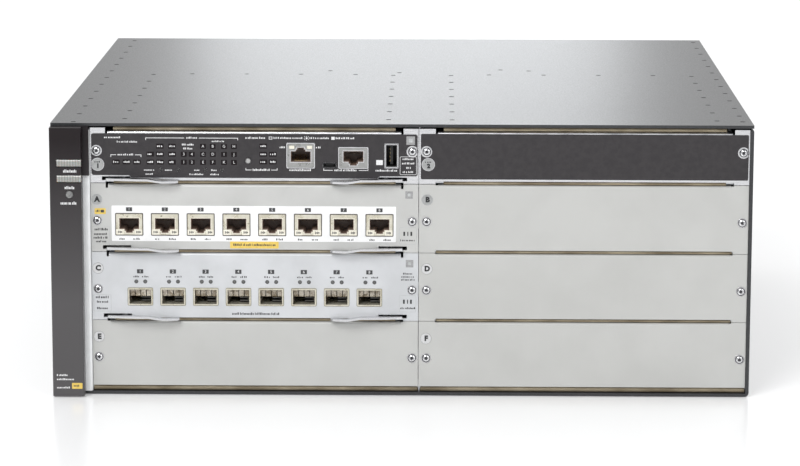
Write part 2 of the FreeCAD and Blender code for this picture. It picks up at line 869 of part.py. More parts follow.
def save_jack_module():
    left = left_module
    bottom = slot_a_bottom
    centres = [left + first_jack_centre + port * jack_pitch for port in range(port_count)]
    low = bottom + line_board_top
    cutouts = [opening(centre, low, line_jack_width, line_jack_height) for centre in centres]
    save("jack_module_carrier", module_carrier(left, bottom, line_height, line_board_top, cutouts))
    save("jack_module_board", module_board(left, bottom, line_board_top, plate_back + 1))
    jacks = [wire_jack(centre, low, line_jack_width, line_jack_height, False) for centre in centres]
    save("jack_module_jacks", *jacks)
    save("jack_module_screws", *captive_screws(left, bottom))
    lever, other = place_levers(left, bottom)
    save("jack_module_left_lever", lever)
    save("jack_module_right_lever", other)


# --- Module C: eight optical cages ---------------------------------------------------------------

def save_cage_module():
    left = left_module
    bottom = slot_c_bottom
    centres = [left + first_cage_centre + port * cage_pitch for port in range(port_count)]
    low = bottom + cage_board_top
    cutouts = [opening(centre, low, cage_width, cage_height) for centre in centres]
    carrier = module_carrier(left, bottom, line_height, cage_board_top, cutouts)
    save("cage_module_carrier", carrier)
    save("cage_module_board", module_board(left, bottom, cage_board_top, plate_back + 1))
    save("cage_module_cages", *[module_cage(centre, low) for centre in centres])
    save("cage_module_screws", *captive_screws(left, bottom))
    lever, other = place_levers(left, bottom)
    save("cage_module_left_lever", lever)
    save("cage_module_right_lever", other)


# --- Management module -----------------------------------------------------------------------------

def save_management_module():
    left = left_module
    bottom = management_bottom
    low = bottom + management_board_top
    lan = left + management_jack_centre
    console = left + console_jack_centre
    small_usb = left + console_usb_centre
    usb = left + usb_port_centre
    cutouts = [opening(lan, low, management_jack_width, management_jack_height),
               opening(console, low, console_jack_width, console_jack_height),
               opening(small_usb, low + usb_lift, console_usb_width, console_usb_height),
               opening(usb, low + usb_lift, usb_port_width, usb_port_height)]
    mode_place = V(left + mode_button_centre, plate_recess - 1, bottom + mode_button_height)
    cutouts.append(faceted_hole(mode_button_radius + button_gap, mode_place, Y, 4))
    for centre in small_button_centres:
        place = V(left + centre, plate_recess - 1, bottom + small_button_height)
        cutouts.append(faceted_hole(small_button_radius + button_gap, place, Y, 4))
    save("management_carrier",
         module_carrier(left, bottom, management_height, management_board_top, cutouts))
    save("management_board",
         module_board(left, bottom, management_board_top, plate_back + management_board_front))
    save("management_network_jack",
         wire_jack(lan, low, management_jack_width, management_jack_height, True))
    save("management_console_jack",
         wire_jack(console, low, console_jack_width, console_jack_height, False))
    shell = box(usb - usb_port_width / 2, usb + usb_port_width / 2, plate_recess - 0.2,
                plate_recess + usb_depth, low + usb_lift, low + usb_lift + usb_port_height)
    mouth = box(usb - usb_port_width / 2 + usb_wall, usb + usb_port_width / 2 - usb_wall, plate_recess - 1,
                plate_recess + usb_mouth_depth, low + usb_lift + usb_wall,
                low + usb_lift + usb_port_height - usb_wall)
    tongue = box(usb - usb_port_width / 2 + usb_wall, usb - usb_port_width / 2 + usb_wall + usb_tongue,
                 plate_recess + usb_tongue_front, plate_recess + usb_mouth_depth + 1,
                 low + usb_lift + usb_tongue_gap, low + usb_lift + usb_port_height - usb_tongue_gap)
    save("management_usb_port", join([shell.cut(mouth), tongue]))
    half = console_usb_width / 2
    base = low + usb_lift
    top = base + console_usb_height
    body = box(small_usb - half, small_usb + half, plate_recess - 0.1, plate_recess + small_usb_depth,
               base, top)
    inset = small_usb_wall
    slope = small_usb_slope
    mouth = [(inset - half + slope, base + inset), (half - inset - slope, base + inset),
             (half - inset, base + inset + slope), (half - inset, top - inset),
             (inset - half, top - inset), (inset - half, base + inset + slope)]
    outline = [V(small_usb + x, plate_recess - 1, z) for x, z in mouth]
    save("management_small_usb", body.cut(prism(outline, Y * small_usb_depth)))
    save("management_screws", *captive_screws(left, bottom))
    save("mode_button", button(left + mode_button_centre, bottom + mode_button_height,
                               mode_button_radius, -button_travel))
    for name, centre in zip(small_button_names, small_button_centres):
        save(name, button(left + centre, bottom + small_button_height, small_button_radius,
                          small_button_recess))
    lever, other = place_levers(left, bottom)
    save("management_left_lever", lever)
    save("management_right_lever", other)


# --- Blank covers -----------------------------------------------------------------------------------

def save_blanks():
    fits = {"blank_management": (right_module, management_bottom, management_height),
            "blank_slot_b": (right_module, slot_a_bottom, line_height),
            "blank_slot_d": (right_module, slot_c_bottom, line_height),
            "blank_slot_e": (left_module, slot_e_bottom, line_height),
            "blank_slot_f": (right_module, slot_e_bottom, line_height)}
    screws = []
    for name, (left, bottom, height) in fits.items():
        save(name, front_plate(left, bottom, height, True))
        screws.extend(captive_screws(left, bottom))
    save("blank_screws", *screws)


# --- Fans -------------------------------------------------------------------------------------------

def rotor(tip_radius, length):
    """Fan rotor about the y axis: a hub and pitched blades that stay inside the tip circle."""
    hub = faceted_rod(fan_hub_radius, V(0, 0, 0), Y, length, 2 * fan_blades)
    lean = (length / 2 - blade_end_gap) * math.tan(math.radians(blade_pitch_angle))
    reach = math.sqrt(tip_radius ** 2 - (lean + blade_thickness) ** 2)
    blades = []
    for index in range(fan_blades):
        low = fan_hub_radius - 1
        first = blade_end_gap
        last = length - blade_end_gap
        section = [V(-lean - blade_thickness / 2, first, low), V(-lean + blade_thickness / 2, first, low),
                   V(lean + blade_thickness / 2, last, low), V(lean - blade_thickness / 2, last, low)]
        blade = prism(section, Z * (reach - low))
        blade.rotate(V(0, 0, 0), Y, 360 / fan_blades * index)
        blades.append(blade)
    return join([hub] + blades)


def fan_housing(front, low):
    """Square housing with a round duct and a motor mount on four arms."""
    x0 = fan_tray_left + tray_sheet
    x1 = x0 + fan_thickness
    y = front + fan_size / 2
    z = low + fan_size / 2
    frame = box(x0, x1, front, front + fan_size, low, low + fan_size)
    frame = frame.cut(faceted_hole(fan_bore_radius, V(x0 - 1, y, z), X, fan_thickness + 2, bore_sides))
    mount = faceted_rod(fan_hub_radius, V(x0, y, z), X, motor_mount)
    reach = fan_bore_radius + 1
    half = fan_arm_width / 2
    arms = [box(x0, x0 + motor_mount, y - reach, y + reach, z - half, z + half),
            box(x0, x0 + motor_mount, y - half, y + half, z - reach, z + reach)]
    return join([frame, mount] + arms)


def fan_tray_frame():
    """Long upright pan that carries the fans, with its rear plate and pull strap."""
    bottom = sheet + slide_gap
    front = first_fan_front - tray_front_lead
    plate = box(fan_tray_left, fan_tray_left + tray_sheet, front, panel_inner, bottom, fan_tray_top)
    rim = [box(fan_tray_left, fan_tray_right, front, panel_inner, bottom, bottom + tray_sheet),
           box(fan_tray_left, fan_tray_right, front, panel_inner, fan_tray_top - tray_sheet, fan_tray_top),
           box(fan_tray_left, fan_tray_right, front, front + tray_sheet, bottom, fan_tray_top),
           box(fan_tray_left, fan_tray_right, panel_inner, case_depth, bottom, fan_tray_top)]
    middle = (fan_tray_left + fan_tray_right) / 2
    strap = strap_handle(tray_strap_length, handle_reach, Z)
    strap.translate(V(middle, case_depth, (bottom + fan_tray_top) / 2))
    frame = join([plate] + rim + [strap])
    cuts = []
    for y, z in fan_corners():
        centre = V(fan_tray_left - 1, y + fan_size / 2, z + fan_size / 2)
        cuts.append(faceted_hole(fan_bore_radius, centre, X, tray_sheet + 2, bore_sides))
    rear_half = (fan_tray_top - bottom) / 2
    for low in (bottom, bottom + rear_half):
        cuts.append(box(fan_tray_left - 1, fan_tray_left + tray_sheet + 0.1,
                        bulkhead_front - tray_window_lead, panel_inner - tray_window_edge,
                        low + tray_window_edge, low + rear_half - tray_window_bar))
    return frame.cut(cuts)


def fan_corners():
    """Front lower corner (y, z) of each fan, two high and two deep."""
    stack = 2 * fan_size
    gap = (fan_tray_top - sheet - slide_gap - 2 * tray_sheet - stack) / 3
    low = sheet + slide_gap + tray_sheet + gap
    return [(first_fan_front + column * fan_spacing, low + row * (fan_size + gap))
            for column in range(2) for row in range(2)]


def strap_handle(length, reach, along):
    """Flat strap bent to a pull handle: feet on y = 0, its length along the given axis."""
    half = handle_thickness / 2
    span = length / 2 - half
    across = along.cross(Y)
    path = [along * -span, along * -span + Y * (reach - half), along * span + Y * (reach - half),
            along * span]
    path = [point - across * (handle_width / 2) for point in path]
    return folded_sheet(path, handle_thickness, handle_bend, across * handle_width)


def save_fan_tray():
    save("fan_tray_frame", fan_tray_frame())
    save("fan_housings", *[fan_housing(y, z) for y, z in fan_corners()])
    for number, (y, z) in enumerate(fan_corners(), start=1):
        wheel = rotor(fan_bore_radius - fan_tip_gap, rotor_length)
        wheel.rotate(V(0, 0, 0), Z, -90)
        wheel.translate(V(fan_tray_left + tray_sheet + motor_mount + motor_gap,
                          y + fan_size / 2, z + fan_size / 2))
        save(f"fan_rotor_{number}", wheel)


# --- Power supplies -------------------------------------------------------------------------------------

def supply_case(centre):
    """Closed supply case: fan chamber behind a slotted grille, strap, latch lugs, inlet well."""
    left = centre - supply_width / 2
    right = centre + supply_width / 2
    front = case_depth - supply_depth
    body = box(left, right, front, case_depth, supply_bottom, supply_top)
    long_edges = [edge for edge in body.Edges if abs(edge.tangentAt(edge.FirstParameter).y) > 0.9]
    body = body.makeChamfer(supply_edge, long_edges)
    fan_x, fan_z = supply_fan_place(centre)
    chamber_front = case_depth - supply_face - supply_fan_depth
    cuts = [faceted_hole(supply_fan_bore, V(fan_x, chamber_front, fan_z), Y, supply_fan_depth, bore_sides)]
    pitch = grille_slot + grille_bar
    count = int((supply_fan_bore - grille_slot / 2) / pitch)
    for index in range(-count, count + 1):
        x = fan_x + index * pitch
        reach = math.sqrt(supply_fan_bore ** 2 - (abs(index) * pitch + grille_slot / 2) ** 2)
        cuts.append(box(x - grille_slot / 2, x + grille_slot / 2, case_depth - supply_face - 1,
                        case_depth + 1, fan_z - reach, fan_z + reach))
    inlet_x, inlet_z = inlet_place(centre)
    cuts.append(box(inlet_x - inlet_width / 2, inlet_x + inlet_width / 2, case_depth - inlet_depth,
                    case_depth + 1, inlet_z - inlet_height / 2, inlet_z + inlet_height / 2))
    body = body.cut(cuts)
    strap = strap_handle(supply_handle_length, handle_reach, X)
    strap.translate(V(centre + supply_handle_offset, case_depth, supply_top - supply_handle_drop))
    hinge = latch_hinge(centre)
    lugs = []
    for side in (-1, 1):
        inner = hinge.x + side * (latch_plate / 2 + lug_gap)
        outer = inner + side * lug_width
        lug = box(min(inner, outer), max(inner, outer), case_depth - 0.1, hinge.y + lug_width,
                  hinge.z - lug_width, hinge.z + lug_width)
        lugs.append(lug.cut(faceted_hole(latch_trunnion + running_clearance,
                                         V(min(inner, outer) - 1, hinge.y, hinge.z),
                                         X, lug_width + 2)))
    return join([body, strap] + lugs)


def supply_fan_place(centre):
    """x and z of a supply's fan axis."""
    return centre - supply_width / 2 + supply_fan_inset, (supply_bottom + supply_top) / 2


def inlet_place(centre):
    """x and z of a supply's power inlet."""
    return centre + supply_width / 2 - inlet_side_inset, supply_bottom + inlet_lift


def latch_hinge(centre):
    """Hinge point of a supply's release latch."""
    return V(centre + supply_width / 2 - latch_side_inset, case_depth + latch_stand_off,
             supply_bottom + latch_lift)


def supply_inlet(centre):
    """Moulded power inlet: bevelled recess with three blades."""
    x, z = inlet_place(centre)
    body = box(x - inlet_width / 2, x + inlet_width / 2, case_depth - inlet_depth, case_depth + inlet_proud,
               z - inlet_height / 2, z + inlet_height / 2)
    half_w = inlet_recess_width / 2
    half_h = inlet_recess_height / 2
    outline = [(-half_w, -half_h), (half_w, -half_h), (half_w, half_h - inlet_corner),
               (half_w - inlet_corner, half_h), (inlet_corner - half_w, half_h),
               (-half_w, half_h - inlet_corner)]
    face = [V(x + dx, case_depth + 1, z + dz) for dx, dz in outline]
    body = body.cut(prism(face, Y * (-1 - inlet_recess_depth)))
    half_x, half_z = [size / 2 for size in inlet_blade]
    blades = [box(x + dx - half_x, x + dx + half_x, case_depth - inlet_recess_depth - 0.1,
                  case_depth - inlet_blade_back, z + dz - half_z, z + dz + half_z)
              for dx, dz in inlet_blade_places]
    return join([body] + blades)


def supply_latch(centre):
    """Release latch: trunnions in the lugs and a thumb plate that hangs below."""
    hinge = latch_hinge(centre)
    half = latch_plate / 2
    hub = faceted_rod(latch_hub, V(hinge.x - half, hinge.y, hinge.z), X, latch_plate)
    trunnion = faceted_rod(latch_trunnion, V(hinge.x - half - lug_width, hinge.y, hinge.z), X,
                           latch_plate + 2 * lug_width)
    root = hinge.y + latch_hub - latch_sheet
    kink = hinge.z - latch_drop + latch_kick
    outline = [V(hinge.x - half, root, hinge.z), V(hinge.x - half, root, kink - 1),
               V(hinge.x - half, root + latch_kick, hinge.z - latch_drop),
               V(hinge.x - half, root + latch_kick + latch_sheet, hinge.z - latch_drop + 1),
               V(hinge.x - half, root + latch_sheet, kink),
               V(hinge.x - half, root + latch_sheet, hinge.z)]
    return join([hub, trunnion, prism(outline, X * latch_plate)])


def save_supplies():
    for number, centre in enumerate(supply_centres, start=1):
        save(f"supply_{number}_case", supply_case(centre))
        save(f"supply_{number}_inlet", supply_inlet(centre))
        save(f"supply_{number}_latch", supply_latch(centre))
        fan_x, fan_z = supply_fan_place(centre)
        wheel = rotor(supply_fan_bore - fan_tip_gap, supply_rotor_length)
        wheel.translate(V(fan_x, case_depth - supply_face - supply_fan_depth + motor_gap, fan_z))
        save(f"supply_{number}_rotor", wheel)


os.makedirs("parts", exist_ok=True)
save("base_pan", base_pan())
save("top_cover", top_cover())
save("rear_panel", rear_panel())
save("fan_bay_wall", fan_bay_wall())
save("centre_divider", centre_divider())
save("slot_shelves", *slot_shelves())
save("screw_blocks", *screw_blocks())
save("rear_bulkhead", rear_bulkhead())
save("backplane", backplane())
save("supply_tunnels", *supply_tunnels())
save("front_bezel", front_bezel())
save("status_lenses", *status_lenses())
save("emi_gaskets", *emi_gaskets())
save_blanks()
save_management_module()
save_jack_module()
save_cage_module()
save_fan_tray()
save_supplies()
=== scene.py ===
# %% [markdown]
# # A modular chassis switch, dressed for its portrait
#
# The metalwork of this switch is already made in CAD: a folded steel case, module carriers,
# levers, fans and power supplies. This lesson gives that frame its looks. We load it first,
# because the places of all that follows are counted from its plates and boxes.

# %% Load the frame
import math
import random

import bmesh
import bpy
from mathutils import Matrix, Vector


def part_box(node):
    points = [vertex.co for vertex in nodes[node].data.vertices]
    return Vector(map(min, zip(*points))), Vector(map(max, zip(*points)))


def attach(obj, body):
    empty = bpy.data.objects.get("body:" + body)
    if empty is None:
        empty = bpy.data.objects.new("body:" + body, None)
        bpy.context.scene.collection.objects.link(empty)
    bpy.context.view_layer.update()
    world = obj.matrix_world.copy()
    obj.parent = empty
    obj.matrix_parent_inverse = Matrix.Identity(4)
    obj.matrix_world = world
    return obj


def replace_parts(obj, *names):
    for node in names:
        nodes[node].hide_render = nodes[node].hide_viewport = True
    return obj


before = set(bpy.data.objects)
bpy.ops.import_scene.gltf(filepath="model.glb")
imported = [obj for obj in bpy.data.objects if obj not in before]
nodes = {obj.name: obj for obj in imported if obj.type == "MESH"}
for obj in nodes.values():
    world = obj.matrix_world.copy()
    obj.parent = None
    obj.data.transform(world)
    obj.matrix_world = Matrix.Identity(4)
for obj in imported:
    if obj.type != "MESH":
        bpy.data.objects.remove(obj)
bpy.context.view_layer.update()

# %% [markdown]
# ## Millimetres and module corners
#
# Blender works in metres, but a panel layout is thought out in millimetres from the lower
# left corner of each faceplate. So we make one small helper that turns such a place into
# a point in the scene. If a module moves in CAD, all its print moves with it.

# %% Places on a faceplate
MM = 0.001
ORIGIN = Vector((0, 0, 0))
MODULE_WIDE = 207.9
TAB_DROP = 1.6
LOWEST_COVERS = ("blank_e", "blank_f")
FACEPLATES = {
    "management": ("management_carrier", "management_module"),
    "jacks": ("jack_module_carrier", "jack_module"),
    "cages": ("cage_module_carrier", "cage_module"),
    "blank_m": ("blank_management", "chassis"),
    "blank_b": ("blank_slot_b", "chassis"),
    "blank_d": ("blank_slot_d", "chassis"),
    "blank_e": ("blank_slot_e", "chassis"),
    "blank_f": ("blank_slot_f", "chassis"),
}
plate_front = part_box("blank_slot_b")[0].y
case_low, case_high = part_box("base_pan")
corners = {}
rides = {}
for panel, (node, body) in FACEPLATES.items():
    low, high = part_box(node)
    left = low.x if low.x < -0.1 else high.x - MODULE_WIDE * MM
    bottom = low.z if panel in LOWEST_COVERS else low.z + TAB_DROP * MM
    corners[panel] = Vector((left, plate_front, bottom))
    rides[panel] = body


def on(panel, x, z, proud=0.0):
    """The point x and z millimetres from a faceplate's lower left corner, proud of its face."""
    corner = corners[panel]
    return Vector((corner.x + x * MM, corner.y - proud * MM, corner.z + z * MM))


for panel, corner in corners.items():
    print(f"{panel:11s} corner at {corner.x:.4f}, {corner.z:.4f}")

# %% [markdown]
# ## The camera
#
# The switch is seen from almost straight ahead, from a little above, with a long lens.
# The long lens keeps the front nearly square while the lid still tapers to the rear. The
# camera's three axes are written out from its tilt, turn and roll, which is steadier than
# aiming it at a target.

# %% Camera
TILT, TURN, ROLL = (math.radians(angle) for angle in (10.385, 0.659, 0.136))
CAMERA_PLACE = (0.0223, -2.25495, 0.4772)
forward = Vector((-math.cos(TILT) * math.sin(TURN), math.cos(TILT) * math.cos(TURN), -math.sin(TILT)))
level = Vector((math.cos(TURN), math.sin(TURN), 0))
upright = level.cross(forward)
right = level * math.cos(ROLL) + upright * math.sin(ROLL)
up = upright * math.cos(ROLL) - level * math.sin(ROLL)
axes = Matrix((right, up, -forward)).transposed().to_4x4()
camera = bpy.data.objects.new("camera", bpy.data.cameras.new("camera"))
camera.data.sensor_width = 36
camera.data.lens = 146.13
camera.matrix_world = Matrix.Translation(CAMERA_PLACE) @ axes
bpy.context.scene.collection.objects.link(camera)
bpy.context.scene.camera = camera
print("camera looks along", [round(v, 3) for v in forward])

# %% [markdown]
# ## Floor and light
#
# A pale studio sweep surrounds the switch. Bare steel shows what stands round it, so the
# world is not evenly white: it is bright behind and above, and softer where the plates
# look, which is towards the camera. Big soft panels then shape the lid and the levers.
# Small helpers save typing here and later: a new object, a new material, and a new shader
# node with its sockets set by name.

# %% Floor
def in_scene(name, data):
    """A new object in the scene from a mesh, a curve or a light."""
    obj = bpy.data.objects.new(name, data)
    bpy.context.scene.collection.objects.link(obj)
    return obj


def set_sockets(node, **values):
    """Sets a node's input sockets by name, with an underscore for each space."""
    for name, value in values.items():
        node.inputs[name.replace("_", " ")].default_value = value
    return node


def material(name):
    """A new node material, its node tree and its main shader."""
    made = bpy.data.materials.new(name)
    made.use_nodes = True
    return made, made.node_tree, made.node_tree.nodes["Principled BSDF"]


FLOOR_SIDE, FLOOR_DROP = 14.0, 0.0004
half = FLOOR_SIDE / 2
floor_mesh = bpy.data.meshes.new("studio_floor")
floor_mesh.from_pydata([(-half, -half, 0), (half, -half, 0), (half, half, 0), (-half, half, 0)],
                       [], [(0, 1, 2, 3)])
floor = in_scene("studio_floor", floor_mesh)
floor.location.z = -FLOOR_DROP
floor_paint, _, floor_shader = material("studio_floor")
set_sockets(floor_shader, Base_Color=(0.93, 0.93, 0.93, 1), Roughness=0.22, Specular_IOR_Level=0.9,
            Emission_Color=(1, 1, 1, 1), Emission_Strength=0.16)
floor_mesh.materials.append(floor_paint)
print("floor", FLOOR_SIDE, "metres wide")


# %% World
def add_node(tree, kind, **values):
    """A new shader node in a tree, with some of its sockets set."""
    return set_sockets(tree.nodes.new("ShaderNode" + kind), **values)


def along(tree, source, axis, start, end):
    """A factor that grows from 0 to 1 along one axis of the coordinates."""
    split = add_node(tree, "SeparateXYZ")
    tree.links.new(add_node(tree, "TexCoord").outputs[source], split.inputs[0])
    grow = add_node(tree, "MapRange", From_Min=start, From_Max=end)
    tree.links.new(split.outputs[axis], grow.inputs["Value"])
    return grow.outputs["Result"]


def tone(tree, factor, socket, dark, light, low=0.35, high=0.65):
    """Drives a colour socket from dark to light as the factor goes from low to high."""
    ramp = add_node(tree, "ValToRGB")
    for element, position, colour in zip(ramp.color_ramp.elements, (low, high), (dark, light)):
        element.position = position
        element.color = (*colour, 1)
    tree.links.new(factor, ramp.inputs["Fac"])
    tree.links.new(ramp.outputs["Color"], socket)


world = bpy.data.worlds.new("studio")
bpy.context.scene.world = world
world.use_nodes = True
sky = world.node_tree
backdrop = sky.nodes["Background"]
backdrop.inputs["Strength"].default_value = 1.0
tone(sky, along(sky, "Generated", "Y", -1, 1), backdrop.inputs["Color"],
     (0.42, 0.43, 0.45), (1.0, 1.0, 1.0), 0.25, 0.75)
print("the world is brightest behind the switch")


# %% Soft panels
def soft_panel(name, place, target, wide, high, power, tint=(1, 1, 1)):
    """A rectangular soft light that faces a point."""
    light = bpy.data.lights.new(name, "AREA")
    light.shape = "RECTANGLE"
    light.size = wide
    light.size_y = high
    light.energy = power
    light.color = tint
    lamp = in_scene(name, light)
    lamp.location = place
    lamp.rotation_euler = (Vector(target) - Vector(place)).to_track_quat("-Z", "Y").to_euler()


CASE_MIDDLE, LID_MIDDLE = (0, 0, 0.1), (0, 0, 0.17)
soft_panel("front_key", (-0.9, -2.0, 1.9), CASE_MIDDLE, 1.2, 0.9, 38)
soft_panel("front_fill", (1.6, -2.0, 1.0), CASE_MIDDLE, 1.2, 1.2, 10)
soft_panel("lid_glow", (-0.02, 2.6, 0.66), LID_MIDDLE, 0.64, 0.4, 3.6, (0.94, 0.97, 1.0))
print("three soft panels and a pale sweep")

# %% [markdown]
# ## Grain, tone and relief
#
# No real surface is one even colour. Each finish below starts from the same three moves:
# a noise field sized in millimetres, a ramp that turns it into two close tones, and a very
# small relief in the normal. Written once as helpers, they keep every finish readable,
# and the numbers that matter, such as gloss, stay plainly on the shader.

# %% The shared moves
def noise_field(tree, size_mm, detail=3.0, stretch=(1, 1, 1)):
    """A noise factor whose features are about size_mm across, drawn out along an axis."""
    scaled = add_node(tree, "Mapping", Scale=stretch)
    field = add_node(tree, "TexNoise", Scale=1 / (size_mm * MM), Detail=detail)
    tree.links.new(add_node(tree, "TexCoord").outputs["Object"], scaled.inputs["Vector"])
    tree.links.new(scaled.outputs["Vector"], field.inputs["Vector"])
    return field.outputs["Fac"]


def span(tree, factor, socket, least, most):
    """Drives a number socket from least to most over the middle of the factor."""
    scale = add_node(tree, "MapRange", From_Min=0.3, From_Max=0.7, To_Min=least, To_Max=most)
    tree.links.new(factor, scale.inputs["Value"])
    tree.links.new(scale.outputs["Result"], socket)


def relief(tree, shader, factor, depth):
    """A bump in the normal, depth millimetres from the factor's lowest to its highest point."""
    bump = add_node(tree, "Bump", Distance=depth * MM, Strength=1.0)
    tree.links.new(factor, bump.inputs["Height"])
    tree.links.new(bump.outputs["Normal"], shader.inputs["Normal"])


def finish(name, dark, light, grain, gloss=(0.4, 0.5), metal=0.0, depth=0.02,
           stretch=(1, 1, 1), detail=3.0, low=0.35, high=0.65, specular=0.5):
    """A finish from two tones, a grain in millimetres, a roughness range and a small relief."""
    paint, tree, shader = material(name)
    set_sockets(shader, Metallic=metal, Specular_IOR_Level=specular)
    field = noise_field(tree, grain, detail, stretch)
    tone(tree, field, shader.inputs["Base Color"], dark, light, low, high)
    span(tree, field, shader.inputs["Roughness"], *gloss)
    relief(tree, shader, field, depth)
    return paint


print("four moves, and a finish made of them")

# %% [markdown]
# ## Paints and plastics
#
# The lid and sides have a dark metallic paint with a fine sparkle. The working modules are
# a cool light grey, the blank covers a slightly warm one. The bezel is a satin charcoal
# moulding whose colour is painted lighter towards its foot, a painted reflection of the pale
# floor, so its tone follows the height. The same charcoal is printed as a film on the management fronts.

# %% Paint and plastic finishes
case_paint = finish("case_paint", (0.028, 0.029, 0.031), (0.048, 0.049, 0.052), 0.9,
                    gloss=(0.30, 0.42), metal=0.1, low=0.3, high=0.72)
module_paint = finish("module_paint", (0.58, 0.59, 0.60), (0.66, 0.67, 0.685), 26,
                      gloss=(0.36, 0.46), metal=0.25, depth=0.006, detail=6)
line_paint = finish("line_paint", (0.53, 0.53, 0.513), (0.585, 0.585, 0.567), 26,
                    gloss=(0.36, 0.46), metal=0.2, depth=0.006, detail=6)
cover_paint = finish("cover_paint", (0.51, 0.51, 0.49), (0.545, 0.545, 0.525), 34,
                     gloss=(0.42, 0.5), metal=0.1, depth=0.006, detail=6)
bezel_plastic = finish("bezel_plastic", (0.050, 0.045, 0.047), (0.064, 0.058, 0.060), 0.5,
                       gloss=(0.28, 0.38), depth=0.012, specular=0.28)
bezel_tree = bezel_plastic.node_tree
# painted reflection: the bezel's colour is ramped lighter towards its foot, for the pale floor that shines
# into it
tone(bezel_tree, along(bezel_tree, "Object", "Z", 0.0, case_high.z),
     bezel_tree.nodes["Principled BSDF"].inputs["Base Color"],
     (0.088, 0.084, 0.086), (0.010, 0.006, 0.007), 0.35, 0.95)
film_charcoal = finish("film_charcoal", (0.036, 0.033, 0.035), (0.044, 0.040, 0.042), 3.0,
                       gloss=(0.42, 0.5), depth=0.004, specular=0.3)
button_plastic = finish("button_plastic", (0.036, 0.033, 0.035), (0.046, 0.042, 0.044), 1.2,
                        gloss=(0.3, 0.4), depth=0.01)
black_plastic = finish("black_plastic", (0.012, 0.012, 0.012), (0.024, 0.023, 0.022), 1.0,
                       gloss=(0.35, 0.5))
latch_plastic = finish("latch_plastic", (0.10, 0.10, 0.11), (0.14, 0.14, 0.15), 1.0)
print("paints and plastics ready")

# %% [markdown]
# ## Bare and plated steel
#
# Bright steel is pulled along one way in rolling, so its noise is drawn out into streaks.
# Zinc plate has pale flakes a few millimetres across instead, which a Voronoi field gives.
# The jack shields are tin plated and a touch warmer.

# %% Metal finishes
bare_steel = finish("bare_steel", (0.60, 0.60, 0.61), (0.72, 0.72, 0.73), 0.35,
                    gloss=(0.14, 0.24), metal=1.0, depth=0.002, stretch=(0.06, 1, 1))
plate_edge = finish("plate_edge", (0.66, 0.66, 0.67), (0.78, 0.78, 0.79), 0.5,
                    gloss=(0.22, 0.36), metal=1.0, depth=0.004, stretch=(0.05, 1, 1))
port_metal = finish("port_metal", (0.60, 0.56, 0.44), (0.74, 0.71, 0.60), 5.0,
                    gloss=(0.24, 0.36), metal=0.6, depth=0.004)
shell_steel = finish("shell_steel", (0.30, 0.30, 0.29), (0.38, 0.38, 0.37), 6.0,
                     gloss=(0.24, 0.34), metal=0.5, depth=0.003)
# painted light: the fan bay's front flange is near white, lighter than the zinc plate, to lift it out of the
# shade the bezel casts on it
zinc_painted_light = finish("zinc_painted_light", (0.88, 0.89, 0.89), (0.93, 0.94, 0.94), 7.0,
                   gloss=(0.4, 0.52), depth=0.004)
gold_plate = finish("gold_plate", (0.78, 0.55, 0.22), (0.92, 0.70, 0.34), 0.4,
                    gloss=(0.2, 0.3), metal=1.0, depth=0.003)

FLAKE = 5.0
zinc_steel, zinc_tree, zinc_shader = material("zinc_steel")
zinc_shader.inputs["Metallic"].default_value = 0.9
flakes = add_node(zinc_tree, "TexVoronoi", Scale=1 / (FLAKE * MM))
flake_shade = add_node(zinc_tree, "SeparateColor")
zinc_tree.links.new(add_node(zinc_tree, "TexCoord").outputs["Object"], flakes.inputs["Vector"])
zinc_tree.links.new(flakes.outputs["Color"], flake_shade.inputs["Color"])
tone(zinc_tree, flake_shade.outputs["Red"], zinc_shader.inputs["Base Color"],
     (0.56, 0.57, 0.58), (0.68, 0.69, 0.70), 0.1, 0.9)
span(zinc_tree, flake_shade.outputs["Red"], zinc_shader.inputs["Roughness"], 0.3, 0.42)
relief(zinc_tree, zinc_shader, flakes.outputs["Distance"], 0.006)
print("metals ready")

# %% [markdown]
# ## Gasket cloth, boards and lenses
#
# The strips between the slots are foam wrapped in a woven metallised cloth, so two crossed
# wave fields make the weave. A board is green with a faint trace pattern. The lenses are
# frosted and ribbed, to spread the light of the lamps behind them.

# %% Special finishes
def wave(tree, axis, size_mm, distortion):
    """A factor that rises and falls along one axis, for threads and ribs."""
    field = add_node(tree, "TexWave", Scale=1 / (size_mm * MM), Distortion=distortion)
    field.bands_direction = axis
    tree.links.new(add_node(tree, "TexCoord").outputs["Object"], field.inputs["Vector"])
    return field.outputs["Fac"]


gasket_cloth, cloth_tree, cloth_shader = material("gasket_cloth")
set_sockets(cloth_shader, Metallic=0.45, Roughness=0.42)
weave = add_node(cloth_tree, "Math")
weave.operation = "MULTIPLY"
for socket, direction in zip(weave.inputs, ("X", "Z")):
    cloth_tree.links.new(wave(cloth_tree, direction, 1.1, 1.2), socket)
tone(cloth_tree, noise_field(cloth_tree, 9, 4, (0.4, 1, 1)), cloth_shader.inputs["Base Color"],
     (0.20, 0.16, 0.10), (0.40, 0.34, 0.24))
relief(cloth_tree, cloth_shader, weave.outputs["Value"], 0.08)

board_green = finish("board_green", (0.010, 0.085, 0.045), (0.02, 0.14, 0.07), 2.2,
                     gloss=(0.25, 0.4), depth=0.03, stretch=(1, 0.2, 1), detail=1)

lens_plastic, lens_tree, lens_shader = material("lens_plastic")
set_sockets(lens_shader, Roughness=0.26, Subsurface_Weight=0.3, Subsurface_Scale=0.002, Coat_Weight=0.4)
ribs = wave(lens_tree, "X", 5.5, 0.4)
tone(lens_tree, ribs, lens_shader.inputs["Base Color"], (0.26, 0.255, 0.235), (0.36, 0.355, 0.33), 0.2, 0.8)
relief(lens_tree, lens_shader, ribs, 0.05)
print("cloth, boards and lenses ready")

# %% [markdown]
# ## Dressing the metalwork
#
# Each node from CAD now gets its finish. One table says which finish goes on which nodes,
# so a change of mind is a change in one line. The made pieces that come later bring a
# finish of their own, and some of them stand in for a node that is dressed here.

